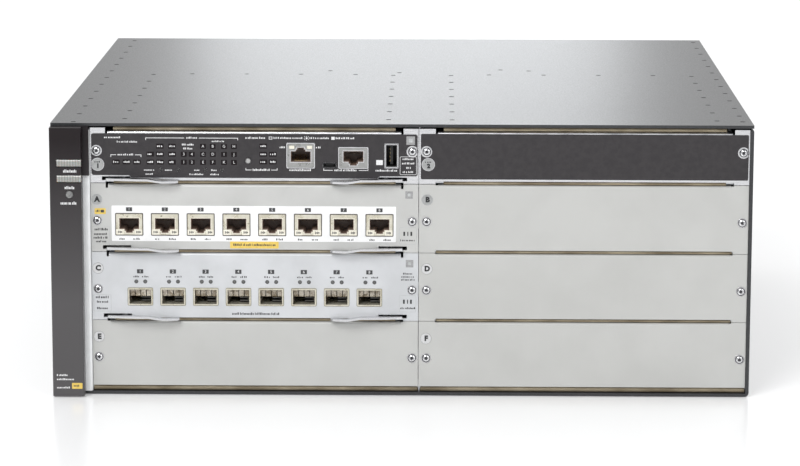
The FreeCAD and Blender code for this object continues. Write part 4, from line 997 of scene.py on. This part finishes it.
# painted shade: the small port's tube is the near black steel, for the shade in the port
lining = port_shell("small_usb_shell", "management_small_usb", 0.25, steel_painted_shade)
x, z, wide, high = box_on("management", "management_small_usb")
mouth = on("management", x, z, reach_of("management_small_usb")[0])
tongue = block(mouth, -wide / 2 + 1.4, wide / 2 - 1.4, 1.2, 5.6, -0.25, 0.35)
dress("management", "small_usb_tongue", lining + [tongue], black_plastic)
print("small port", round(wide, 1), "mm wide")

# %% [markdown]
# ## Optic cages
#
# A cage is a folded tin box. Spring fingers bend in from its roof and its sides to press
# on the module that is pushed in, a small connector waits at its far end, and two round
# lamps sit over it on the plate. The fingers are prisms: a bent section pushed sideways.

# %% Cage springs and connectors
FIRST_CAGE, CAGE_PITCH = 30.75, 20.87
PLUG_FRONT, PLUG_BACK = 34.0, 45.0
ROOF_FINGER = [(0.1, 0.0), (2.2, -0.6), (3.6, -4.6), (5.2, -5.0), (5.2, -4.8), (3.8, -4.4), (2.4, -0.4),
               (0.1, 0.2)]
SIDE_FINGER = [(6.9, 0.2), (5.6, 7.0), (6.4, 9.0), (6.55, 9.0), (5.75, 7.0), (7.0, 0.2)]
spring_tin = finish("spring_tin", (0.20, 0.165, 0.12), (0.46, 0.42, 0.36), 3.4,
                    gloss=(0.2, 0.34), metal=0.7, detail=1.0)
gap_olive = finish("gap_olive", (0.24, 0.22, 0.15), (0.34, 0.31, 0.22), 2.0,
                   gloss=(0.35, 0.45), metal=0.4, depth=0.005)
connector_grey = finish("connector_grey", (0.07, 0.068, 0.065), (0.11, 0.107, 0.10), 1.5,
                        gloss=(0.3, 0.4), depth=0.008)
cage_centres = [FIRST_CAGE + n * CAGE_PITCH for n in range(8)]
cage_low, cage_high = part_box("cage_module_cages")
cage_top = (cage_high.z - corners["cages"].z) / MM
cage_floor = (cage_low.z - corners["cages"].z) / MM
middle = (cage_top + cage_floor) / 2
roof_section = [(back, cage_top - 1.0 + dz) for back, dz in ROOF_FINGER]
springs, plugs, rims, edges = [], [], [], []
for x in cage_centres:
    place = on("cages", x, 0)
    springs += [across(place, dx - 1.55, dx + 1.55, roof_section) for dx in (-5.4, -1.8, 1.8, 5.4)]
    for dz in (2.4, 5.6):
        for side in (-1, 1):
            finger = [place + Vector((side * reach, back, cage_floor + dz)) * MM
                      for reach, back in SIDE_FINGER]
            springs.append(prism(finger, Vector((0, 0, 2.0 * MM))))
    plugs.append(block(place, -5.8, 5.8, PLUG_FRONT, PLUG_BACK, cage_floor + 0.9, cage_floor + 6.0))
    plugs += [block(place, 0.6, 6.2, 6.0, PLUG_FRONT, cage_floor + dz, cage_floor + dz + 0.7)
              for dz in (1.6, 3.6)]
    rims.append(sheet("cages", frame_loops(x, middle, 15.5, 10.9, 0.8, 0.5, 0.3), 0.45))
    edges.append(sheet("cages", frame_loops(x, middle, 16.2, 11.6, 0.7, 0.7, 0.5), 0.3))
dress("cages", "cage_edges", edges, gap_olive)
dress("cages", "cage_springs", springs, spring_tin)
dress("cages", "cage_connectors", plugs, connector_grey)
dress("cages", "cage_rims", rims, port_metal)
print(len(springs), "spring fingers")

# %% Lamps over the cages
LAMP_RING = [(1.3, 0.0), (1.3, 0.1), (1.15, 0.16), (0.85, 0.1), (0.8, 0.02)]
LAMP_CORE = [(0.78, 0.0), (0.7, 0.2), (0.45, 0.32), (0.15, 0.36)]
LAMP_SIDES, LAMP_Z = (-2.5, 3.2), 23.3
lamp_ring = finish("lamp_ring", (0.07, 0.07, 0.07), (0.11, 0.11, 0.11), 0.7, gloss=(0.3, 0.4), depth=0.006)
lamp_core = finish("lamp_core", (0.10, 0.10, 0.098), (0.16, 0.16, 0.155), 0.7,
                   gloss=(0.2, 0.3), depth=0.006)
lamp_places = [on("cages", x + dx, LAMP_Z) for x in cage_centres for dx in LAMP_SIDES]
dress("cages", "cage_lamp_rings", [turned(LAMP_RING, place, 20) for place in lamp_places],
      lamp_ring)
dress("cages", "cage_lamp_cores", [turned(LAMP_CORE, place, 14) for place in lamp_places],
      lamp_core)
print(len(lamp_places), "lamps")

# %% [markdown]
# ## Fields, tags and labels
#
# The line module has a white field behind its jacks and a yellow patch, and each port has
# a dark tag with its number. The small labels at both ends sit in shallow frames. Numbers
# are generic, so they are kept. Every other word becomes bars, and a printed code is only
# a plain square.

# %% Labels and tags
MARK_BARS = ((-2.3, 1.1), (0.0, 0.6), (2.2, 1.1))
FIELD = 0.06


def label(panel, x0, x1, z0, z1, rows, mark=None):
    """A framed label with rows of bars, and above them three larger bars if asked."""
    middle = (x0 + x1) / 2
    edge = frame_loops(middle, (z0 + z1) / 2, x1 - x0, z1 - z0, 0.44, 0.7, 0.5)
    dress(panel, f"label_edge_{panel}_{int(x0)}", [sheet(panel, edge, PRINT)], ink_pale)
    reaches = [((x1 - x0) * share / 2, z, high) for share, z, high in rows]
    bars = words([(middle - reach, middle + reach, z, high) for reach, z, high in reaches])
    meshes = [sheet(panel, bars, FIELD)]
    if mark:
        marks = [loop_box(middle + dx, mark, wide, 2.7, 0.2) for dx, wide in MARK_BARS]
        meshes.append(sheet(panel, marks, FIELD))
    dress(panel, f"label_bars_{panel}_{int(x0)}", meshes, ink_dark)


def number_tags(panel, name, centres, z, wide, high, digit_high, lift, thick):
    """A dark tag with a port's number over each port."""
    tags = sheet(panel, [loop_box(x, z, wide, high, 0.2) for x in centres], thick, lift)
    digits = [glyph_mesh(str(number), on(panel, x, z, lift + thick), digit_high)
              for number, x in enumerate(centres, 1)]
    dress(panel, f"{name}_tags", [tags], ink_grey)
    dress(panel, f"{name}_digits", digits, ink_white)


label("jacks", 0.7, 11.8, 3.2, 14.8,
      [(0.74, 12.6, 1.6), (0.82, 9.6, 1.4), (0.88, 7.2, 1.4), (0.6, 4.8, 1.4)])
label("jacks", 195.7, 206.8, 3.8, 14.7, [(0.86, 6.3, 1.2)], mark=10.6)
label("cages", 0.8, 12.1, 3.8, 14.8, [(0.74, 12.9, 1.6), (0.62, 9.9, 1.4), (0.62, 5.7, 1.4)])
label("cages", 195.8, 206.5, 4.1, 15.1, [(0.86, 6.6, 1.2)], mark=10.9)
number_tags("jacks", "jack", jack_centres, 25.7, 3.9, 2.5, 1.7, FIELD, 0.04)
number_tags("cages", "cage", cage_centres, 29.85, 4.0, 2.7, 1.8, 0.0, FIELD)
print("four labels,", len(jack_centres) + len(cage_centres), "tags")

# %% Print on the line modules
PATCH = 0.07
SQUARES = {"management": (202.9, 26.1, 5.4), "jacks": (202.0, 35.6, 4.8), "cages": (202.4, 35.6, 4.8)}
field = [loop_box(103.35, 16.65, 180.7, 22.9, 0.6)]
field += [loop_box(x, JACK_MIDDLE, 17.8, 14.5, 0.5) for x in jack_centres]
dress("jacks", "jack_field", [sheet("jacks", field, FIELD)], ink_field)
patches = [loop_box(5.8, 24.4, 7.2, 3.8, 0.6), loop_box(103.65, 2.95, 30.9, 4.5, 0.5)]
dress("jacks", "yellow_patches", [sheet("jacks", patches, PATCH)], ink_yellow)
jack_words = words([(x + x0, x + x1, 6.5, 1.2) for x in jack_centres
                    for x0, x1 in ((-6.4, -3.0), (2.5, 6.7))])
dress("jacks", "jack_words", [sheet("jacks", jack_words, 0.04, FIELD)], ink_grey)
patch_words = words([(3.0, 5.3, 24.4, 1.4), (90.3, 117.0, 2.95, 1.5)])
patch_words.append(loop_box(7.2, 24.4, 2.3, 1.7, 0.5))
small_print = [sheet("jacks", patch_words, 0.03, PATCH),
               sheet("jacks", pipe_marks, 0.04, PIPE_LIFT + PIPE_THICK)]
dress("jacks", "patch_words", small_print, ink_grey)
cage_words = words([(89.3, 119.3, 2.5, 1.5), (198.3, 204.6, 29.0), (197.2, 205.6, 27.0),
                    (197.0, 205.8, 25.1)])
cage_words += words([(x + x0, x + x1, 26.4, 1.1) for x in cage_centres
                     for x0, x1 in ((-4.3, -0.9), (1.2, 5.4))])
dress("cages", "cage_words", [sheet("cages", cage_words, FIELD)], ink_grey)
for panel, (x, z, size) in SQUARES.items():
    lift = FILM if panel == "management" else 0.0
    core = [loop_box(x, z, size - 3.0, size - 3.0, 0.2)]
    dress(panel, f"square_{panel}", [sheet(panel, [loop_box(x, z, size, size, 0.2)], PRINT, lift)],
          ink_soft)
    dress(panel, f"square_core_{panel}", [sheet(panel, core, 0.03, lift + PRINT)], ink_pale)
print(len(field) - 1, "cuts in the field,", len(SQUARES), "plain squares")

# %% [markdown]
# ## Status lenses
#
# Two bar lenses reach to the bezel's inner edge. Their faces are ribbed from top to
# bottom, so the light of the lamps behind them spreads: a rounded bar carries low upright
# ribs. The third lens is a small grey dome. Heights are counted down from the lid's top,
# and sideways places from the bezel's left edge.

# %% Ribbed bars and dome
LENS_DROPS, LENS_HIGH, LENS_END, LENS_SET_BACK = (24.1, 34.1), 4.8, 20.05, 0.04
RIB, RIB_HALF = 1.9, 0.1
DOME_DROP, DOME_SIDE = 44.4, 12.4
LENS_DOME = [(2.3, -1.6), (2.3, 0.02), (2.05, 0.2), (1.5, 0.32), (0.8, 0.39), (0.2, 0.4)]
dome_grey = finish("dome_grey", (0.14, 0.14, 0.14), (0.24, 0.24, 0.235), 1.6, gloss=(0.1, 0.2), depth=0.01)
lid_low, lid_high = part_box("top_cover")
lid_top = lid_high.z / MM
bezel_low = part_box("front_bezel")[0]
bezel_left = bezel_low.x / MM
lens_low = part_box("status_lenses")[0]
lens_left, lens_face = lens_low.x / MM, lens_low.y / MM
lens_right = bezel_left + LENS_END
rib_count = int((lens_right - lens_left) / RIB)
half = LENS_HIGH / 2
nose = [(3.0, -half), (0.5, -half), (0.12, 0.4 - half), (0.0, 1.1 - half),
        (0.0, half - 1.3), (0.3, half - 0.6), (0.9, half), (3.0, half)]
rib = [(0.3, 1.1 - half), (0.0, 1.1 - half), (0.0, half - 1.3), (0.3, half - 1.3)]
bars = []
for drop in LENS_DROPS:
    z = lid_top - drop
    bars.append(across(Vector((0, lens_face + LENS_SET_BACK, z)) * MM, lens_left, lens_right, nose))
    bars += [across(Vector((lens_left + RIB * (k + 0.5), lens_face, z)) * MM, -RIB_HALF, RIB_HALF, rib)
             for k in range(rib_count)]
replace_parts(piece("lens_bars", bars, lens_plastic, "chassis"), "status_lenses")
dome_place = Vector(((bezel_left + DOME_SIDE) * MM, bezel_low.y, (lid_top - DOME_DROP) * MM))
piece("locator_dome", [turned(LENS_DOME, dome_place, 28)], dome_grey, "chassis")
print(rib_count, "ribs on each bar")

# %% [markdown]
# ## Bezel print
#
# The bezel carries three short words beside its lamps, three rows at its foot and one
# yellow patch. The words by the lamps hang from the lid's top as the lenses do, and the
# rows at the foot stand on the floor.

# %% Bezel words
LAMP_WORDS = [(8.75, 17.25, 29.5), (9.55, 16.25, 40.1), (6.85, 17.15, 50.0)]
FOOT_WORDS = [(2.65, 10.25, 14.0), (2.65, 14.25, 11.3), (2.65, 10.75, 5.9)]
PATCH_SIDE, PATCH_RISE, BEZEL_PRINT = 15.55, 7.1, 0.06
bezel_face = Vector((0, bezel_low.y, 0))
bezel_rows = [(bezel_left + x0, bezel_left + x1, lid_top - drop, 1.9) for x0, x1, drop in LAMP_WORDS]
bezel_rows += [(bezel_left + x0, bezel_left + x1, rise, 1.2) for x0, x1, rise in FOOT_WORDS]
bezel_print = words(bezel_rows)
patch = loop_box(bezel_left + PATCH_SIDE, PATCH_RISE, 6.7, 3.8, 0.5)
patch_words = word_bars(bezel_left + 13.35, bezel_left + 17.75, PATCH_RISE, 1.3)
on_patch = bezel_face - Vector((0, BEZEL_PRINT * MM, 0))
for name, loops, place, thick, paint in (("bezel_words", bezel_print, bezel_face, BEZEL_PRINT, ink_white),
                                         ("bezel_patch", [patch], bezel_face, BEZEL_PRINT, ink_yellow),
                                         ("bezel_patch_words", patch_words, on_patch, 0.03, ink_grey)):
    piece(name, [layer_mesh(loops, place, thick)], paint, "chassis")
print(len(bezel_print), "bars on the bezel")

# %% [markdown]
# ## Gaskets and cover corners
#
# The strips between the slots have a soft rounded nose and not a flat face, and they run
# from tab to tab, so round ones stand in for the plain CAD strips. The line covers share
# their plate's form with the modules, whose upper corners have a relief beside each tab.
# A cover has none, so a small land of the same sheet fills each of those.

# %% Rounded gaskets
CAD_GAP, SHEET, PLATE_HIGH, MANAGEMENT_HIGH = 0.3, 1.9, 41.8, 31.7
LEVER_INSET, TAB_INSET = 14.6, 10.0
NOSE_STEPS, NOSE_DEEP, GASKET_BACK = 8, 0.9, 1.1
rows = [corners[panel].z for panel in ("blank_e", "cages", "jacks", "management")]
tops = [z + PLATE_HIGH * MM for z in rows[:3]] + [rows[3] + MANAGEMENT_HIGH * MM]
gap_lows = [case_low.z + SHEET * MM] + tops
gap_highs = rows + [lid_high.z - SHEET * MM]
front = plate_front / MM + 1.0
strips = []
angles = [math.pi * k / NOSE_STEPS for k in range(NOSE_STEPS + 1)]
for left_panel, line_inset in (("management", LEVER_INSET), ("blank_m", TAB_INSET)):
    start = corners[left_panel].x / MM
    insets = (0.2, line_inset, line_inset, LEVER_INSET, LEVER_INSET)
    for low_z, high_z, inset in zip(gap_lows, gap_highs, insets):
        low_mm, high_mm = low_z / MM + CAD_GAP, high_z / MM - CAD_GAP
        middle, reach = (low_mm + high_mm) / 2, (high_mm - low_mm) / 2
        nose = [(front + NOSE_DEEP - NOSE_DEEP * math.sin(angle), middle - reach * math.cos(angle))
                for angle in angles]
        section = [(front + GASKET_BACK, low_mm)] + nose + [(front + GASKET_BACK, high_mm)]
        strips.append(across(ORIGIN, start + inset, start + MODULE_WIDE - inset, section))
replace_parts(piece("gasket_strips", strips, gasket_cloth, "chassis"), "emi_gaskets")
print(len(strips), "strips")

# %% Cover corners
TAB_WIDE, RELIEF_WIDE, RELIEF_DEEP = 9.5, 1.5, 2.4
lands = [block(on(panel, x, PLATE_HIGH - RELIEF_DEEP), 0.0, RELIEF_WIDE, 0.02, 1.0, -0.1, RELIEF_DEEP)
         for panel in ("blank_b", "blank_d", "blank_e", "blank_f")
         for x in (TAB_WIDE, MODULE_WIDE - TAB_WIDE - RELIEF_WIDE)]
piece("cover_lands", lands, cover_paint, "chassis")
print(len(lands), "lands")

# %% [markdown]
# ## The lid
#
# The lid is riveted to the folds under it, and every rivet sits in a small dimple, so no
# head stands above the sheet. The dimples are cut into a copy of the CAD lid with one
# boolean of many short cylinders, and a low rivet is turned for each of them, painted near
# black for the shade in its dimple.

# %% Rivet places
CROSS_ROW, CROSS_BACK = (-150.0, -111.7, -73.6, -35.3, 58.5, 96.8, 135.3, 173.6), 237.0
ODD_RIVETS = [(216.4, 16.5), (-53.5, 256.0), (-4.6, 247.0), (67.0, 264.0), (87.0, 259.0)]


def rivet_row(x, start, pitch, count):
    """Places from front to back, x from the lid's middle and back from its front edge."""
    return [(x, start + pitch * k) for k in range(count)]


rivet_places = rivet_row(-208.2, 5.5, 35.1, 13) + rivet_row(216.4, 41.7, 35.05, 12)
for x in (-177.0, -8.7, 31.8, 200.3):
    rivet_places += rivet_row(x, 20.0, 35.5, 7)
rivet_places += [(x, CROSS_BACK) for x in CROSS_ROW] + ODD_RIVETS


def stand(mesh, place):
    """Turns a part that faces the front so that it faces up, and sets it on a place."""
    mesh.transform(Matrix.Translation(place) @ Matrix.Rotation(-math.pi / 2, 4, "X"))
    return mesh


def on_lid(profile, steps):
    """A turned part, facing up, for every rivet place."""
    return [stand(turned(profile, steps=steps), Vector((x * MM, (lid_low.y / MM + back) * MM, lid_high.z)))
            for x, back in rivet_places]


print(len(rivet_places), "rivets on the lid")

# %% Dimpled lid
DIMPLE = [(1.9, 0.4), (1.6, -0.4)]
RIVET = [(1.6, -0.39), (1.55, -0.22), (1.2, -0.1), (0.45, -0.06)]
# painted shade: the rivets are near black steel for the shade in their dimples
rivet_painted_shade = finish("rivet_painted_shade", (0.008, 0.008, 0.009), (0.016, 0.016, 0.017), 0.6, gloss=(0.5, 0.6),
                     depth=0.006, specular=0.1)
driller = in_scene("driller", joined(on_lid(DIMPLE, 16), "drill"))
lid_mesh = nodes["top_cover"].data.copy()
lid_mesh.transform(nodes["top_cover"].matrix_world)
lid_copy = in_scene("lid_copy", lid_mesh)
dimpling = lid_copy.modifiers.new("dimpling", "BOOLEAN")
dimpling.operation = "DIFFERENCE"
dimpling.solver = "EXACT"
dimpling.object = driller
lid = piece("lid_sheet", [evaluated_mesh(lid_copy)], case_paint, "chassis")
bpy.data.objects.remove(driller)
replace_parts(lid, "top_cover")
piece("lid_rivets", on_lid(RIVET, 14), rivet_painted_shade, "chassis")
print("lid:", len(lid.data.polygons), "faces")

# %% [markdown]
# ## Rear and sides
#
# Sheet metal is held by small screws with a star socket, and they are what breaks up the
# plain rear of such a case. Each supply also has four fan screws, a pressed ring round its
# grille and two round lamps, the fan tray has two knurled thumb screws, and the panel has
# an earth pad with two studs. The bracket holes in the sides hold threaded inserts. All
# of them are the turned parts and layers from before, faced another way.

# %% Facing another way
REARWARD, RIGHTWARD, LEFTWARD = 180, 90, -90
SMALL_SCREW = [(2.1, -0.3), (2.1, 0.3), (1.85, 0.62), (1.25, 0.72), (1.05, 0.7), (0.95, 0.3), (0.4, 0.28)]
STAR_LOBES = {4: (6, 0.1), 5: (6, 0.16)}


def faced(mesh, place, degrees=REARWARD):
    """Turns a part that faces the front about the upright axis, and sets it on a place."""
    mesh.transform(Matrix.Translation(place) @ Matrix.Rotation(math.radians(degrees), 4, "Z"))
    return mesh


def rear_screws(places):
    """Star socket screws that face the rear."""
    return [faced(turned(SMALL_SCREW, steps=30, lobes=STAR_LOBES), place) for place in places]


print("a small screw is", 2 * SMALL_SCREW[0][0], "mm across")

# %% Supplies
INLET_PROUD, CORNER_INSET, FAN_SCREW, LAMP_SPACE = 0.6, 4, 31, 6
SUPPLY_LAMP = [(1.8, -0.2), (1.7, 0.35), (1.2, 0.75), (0.4, 0.9)]
lamp_green = finish("lamp_green", (0.04, 0.16, 0.06), (0.08, 0.26, 0.10), 0.8,
                    gloss=(0.12, 0.2), depth=0.006)
for body in ("supply_1", "supply_2"):
    low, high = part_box(f"{body}_case")
    rotor_low, rotor_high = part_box(f"{body}_rotor")
    inlet_low, inlet_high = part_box(f"{body}_inlet")
    face_y = inlet_high.y - INLET_PROUD * MM
    fan = Vector(((rotor_low.x + rotor_high.x) / 2, face_y, (rotor_low.z + rotor_high.z) / 2))
    inlet = Vector(((inlet_low.x + inlet_high.x) / 2, face_y, (inlet_low.z + inlet_high.z) / 2))
    inset = CORNER_INSET * MM
    places = [Vector((x, face_y, z)) for x in (low.x + inset, high.x - inset)
              for z in (low.z + inset, high.z - inset)]
    places += [fan + Vector((dx, 0, dz)) * MM for dx in (-FAN_SCREW, FAN_SCREW)
               for dz in (-FAN_SCREW, FAN_SCREW)]
    piece(f"{body}_screws", rear_screws(places), bare_steel, body)
    ring = layer_mesh([loop_disc(0, 0, 38.8, 64), loop_disc(0, 0, 37.4, 64)], ORIGIN, 0.5)
    piece(f"{body}_grille_ring", [faced(ring, fan)], zinc_steel, body)
    edge = layer_mesh(frame_loops(0, 0, 32.4, 26.4, 2.1, 1.6, 0.4), ORIGIN, 0.5)
    piece(f"{body}_inlet_frame", [faced(edge, inlet)], black_plastic, body)
    lamp_x = inlet_low.x - LAMP_SPACE * MM
    lamps = [faced(turned(SUPPLY_LAMP, steps=20), Vector((lamp_x, face_y, inlet.z + dz * MM)))
             for dz in (-5, 5)]
    piece(f"{body}_lamps", lamps, lamp_green, body)
    print(body, f"has its fan at {fan.x:.3f}")

# %% Rear panel and fan tray
THUMB_SCREW = [(4.6, 0.0), (4.6, 7.4), (4.2, 8.0), (1.9, 8.0), (1.7, 7.0), (0.5, 6.9)]
STUD = [(3.4, 0.8), (3.4, 3.4), (2.9, 3.8), (1.6, 3.8), (1.6, 6.2), (1.3, 6.5), (0.4, 6.5)]
NUT_FLATS, KNURL = {0: (6, 0.05), 1: (6, 0.05)}, {0: (24, 0.03), 1: (24, 0.03)}
TOP_INSET, TOP_START, TOP_PITCH, PAD_RISE, TRAY_INSET = 7.0, 30, 95, 22.0, 13
panel_low, panel_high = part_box("rear_panel")
tray_low, tray_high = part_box("fan_tray_frame")
rear_y = panel_high.y
between = (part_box("supply_1_case")[1].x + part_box("supply_2_case")[0].x) / 2
tray_x = (tray_low.x + tray_high.x) / 2
places = [Vector((panel_low.x + (TOP_START + TOP_PITCH * k) * MM, rear_y, panel_high.z - TOP_INSET * MM))
          for k in range(5)]
places += [Vector((between, rear_y, panel_low.z + rise * MM)) for rise in (45, 78)]
piece("rear_screws", rear_screws(places), bare_steel, "chassis")
pad = Vector((between, rear_y, panel_low.z + PAD_RISE * MM))
earth = [faced(layer_mesh([loop_box(0, 0, 30, 13, 1.2)], ORIGIN, 0.8), pad)]
earth += [faced(turned(STUD, steps=36, lobes=NUT_FLATS), pad + Vector((dx * MM, 0, 0))) for dx in (-8, 8)]
piece("earth_pad", earth, bare_steel, "chassis")
thumb = [faced(turned(THUMB_SCREW, steps=72, lobes=KNURL), Vector((tray_x, rear_y, z)))
         for z in (tray_low.z + TRAY_INSET * MM, tray_high.z - TRAY_INSET * MM)]
piece("fan_tray_thumb_screws", thumb, bare_steel, "fan_tray")
print(len(places), "screws on the rear panel")

# %% Sides and fan hubs
INSERT = [(2.05, -1.8), (2.05, -0.12), (1.85, -0.03), (1.6, -0.1), (1.45, -0.4), (1.4, -1.5), (0.4, -1.55)]
HUB = [(13.6, -0.1), (13.6, 0.25), (12.9, 0.5), (12.2, 0.25), (5.0, 0.2), (4.4, 0.45), (1.0, 0.5)]
HOLE_BACKS, HOLE_RISES = (18.0, 50.0), (50.0, 126.0)
insert_steel = finish("insert_steel", (0.30, 0.30, 0.29), (0.42, 0.42, 0.41), 1.5,
                      gloss=(0.3, 0.4), metal=0.8, depth=0.01)
hole_places = [(case_low.y + back * MM, case_low.z + rise * MM) for back in HOLE_BACKS for rise in HOLE_RISES]
inserts = [faced(turned(INSERT, steps=24), Vector((x, y, z)), degrees)
           for degrees, x in ((RIGHTWARD, case_high.x), (LEFTWARD, case_low.x)) for y, z in hole_places]
piece("side_inserts", inserts, insert_steel, "chassis")
for number in (1, 2, 3, 4):
    low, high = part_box(f"fan_rotor_{number}")
    hub = Vector((low.x, (low.y + high.y) / 2, (low.z + high.z) / 2))
    piece(f"fan_hub_{number}", [faced(turned(HUB, steps=40), hub, LEFTWARD)], black_plastic,
          f"fan_rotor_{number}")
print(len(inserts), "inserts in the bracket holes, and four hubs")

# %% [markdown]
# ## Parts on the boards
#
# A module that is drawn out shows its board: a large chip under a finned heat sink, memory
# chips, coils, round capacitors and many tiny parts. The places are drawn from a seeded
# list of tries, and a try that lands on an earlier part is passed over, so no two parts
# overlap. The line module has a block of transformers behind each jack.

# %% Places for board parts
BOARD, EDGE_ROOM, BACK_ROOM, SINK_ROOM = 1.6, 9.0, 24.0, 40.0
TRIES, PART_GAP = 60, 1
place_draw = random.Random(7)


def scatter(count, wide, deep, taken, area):
    """Places for count parts of one size inside an area, clear of the boxes already taken."""
    found = []
    x0, x1, y0, y1 = area
    for _ in range(count * TRIES):
        if len(found) == count:
            break
        x = place_draw.uniform(x0 + wide / 2, x1 - wide / 2)
        y = place_draw.uniform(y0 + deep / 2, y1 - deep / 2)
        if all(abs(x - tx) * 2 > wide + tw + PART_GAP or abs(y - ty) * 2 > deep + td + PART_GAP
               for tx, ty, tw, td in taken):
            found.append((x, y))
            taken.append((x, y, wide, deep))
    return found


def upright_block(origin, x, y, wide, deep, high, rise=0.0):
    """A block that stands on the board about x and y, in millimetres from the origin."""
    return block(origin, x - wide / 2, x + wide / 2, y - deep / 2, y + deep / 2, rise, rise + high)


print("board parts keep", PART_GAP / 2, "mm between them")

# %% Board parts
SINK, FINS, FIN_PITCH, FIN_WIDE, FIN_HIGH = 42, 13, 3.36, 1.2, 7.5
CHIPS = ((4, 14, 14, 14, 1.5), (8, 11, 8, 7.5, 1.2), (6, 7, 7, 7, 3.6))
CAPACITOR = [(3.3, 0.0), (3.3, 0.8), (3.05, 1.0), (3.3, 1.2), (3.3, 8.2), (3.0, 8.6), (1.0, 8.6)]
FRONT_ROOM = {"management_module": ("management_board", 30), "jack_module": ("jack_module_board", 48),
              "cage_module": ("cage_module_board", 56)}
sink_metal = finish("sink_metal", (0.50, 0.51, 0.52), (0.62, 0.63, 0.64), 3.0, gloss=(0.3, 0.4), metal=0.85,
                    depth=0.01, stretch=(1, 0.1, 1))
chip_black = finish("chip_black", (0.012, 0.012, 0.013), (0.022, 0.022, 0.023), 1.5,
                    gloss=(0.4, 0.55), depth=0.01)
tiny_tan = finish("tiny_tan", (0.30, 0.24, 0.16), (0.44, 0.37, 0.27), 0.9, gloss=(0.35, 0.45), depth=0.01)
for body, (node, front_room) in FRONT_ROOM.items():
    low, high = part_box(node)
    origin = Vector((low.x, low.y, low.z + BOARD * MM))
    wide, deep = (high.x - low.x) / MM, (high.y - low.y) / MM
    area = (EDGE_ROOM, wide - EDGE_ROOM, front_room, deep - BACK_ROOM)
    sink_area = (SINK_ROOM, wide - SINK_ROOM, front_room + 10, deep - SINK_ROOM)
    taken, sinks, chips = [], [], []
    for x, y in scatter(1, SINK + 2, SINK + 2, taken, sink_area):
        chips.append(upright_block(origin, x, y, 40, 40, 2.0))
        sinks.append(upright_block(origin, x, y, SINK, SINK, 2.2, 2.0))
        sinks += [upright_block(origin, x - 20.2 + FIN_PITCH * k, y, FIN_WIDE, SINK, FIN_HIGH, 4.1)
                  for k in range(FINS)]
    for count, room_wide, room_deep, chip_deep, chip_high in CHIPS:
        chips += [upright_block(origin, x, y, room_wide, chip_deep, chip_high)
                  for x, y in scatter(count, room_wide, room_deep, taken, area)]
    cans = [stand(turned(CAPACITOR, steps=20), origin + Vector((x, y, 0)) * MM)
            for x, y in scatter(8, 7, 7, taken, area)]
    tiny = [upright_block(origin, x, y, 1.7, 0.9, 0.7) for x, y in scatter(150, 1.7, 0.9, taken, area)]
    if body == "jack_module":
        shift = (corners["jacks"].x - low.x) / MM
        chips += [upright_block(origin, x + shift, 32.0, 15.0, 16.0, 6.2) for x in jack_centres]
    for name, parts, paint, slot in (("heat_sink", sinks, sink_metal, "zinc_steel"),
                                     ("chips", chips, chip_black, "black_plastic"),
                                     ("capacitors", cans, bare_steel, "bare_steel"),
                                     ("small_parts", tiny, tiny_tan, "port_metal")):
        piece(f"{body}_{name}", parts, paint, body)
    print(body, "board carries", len(taken), "placed parts")

# %% [markdown]
# ## Colours as they are
#
# The finishes were mixed for a plain view transform, which shows a colour as it is given.

# %% Colour management
bpy.context.scene.view_settings.view_transform = "Standard"
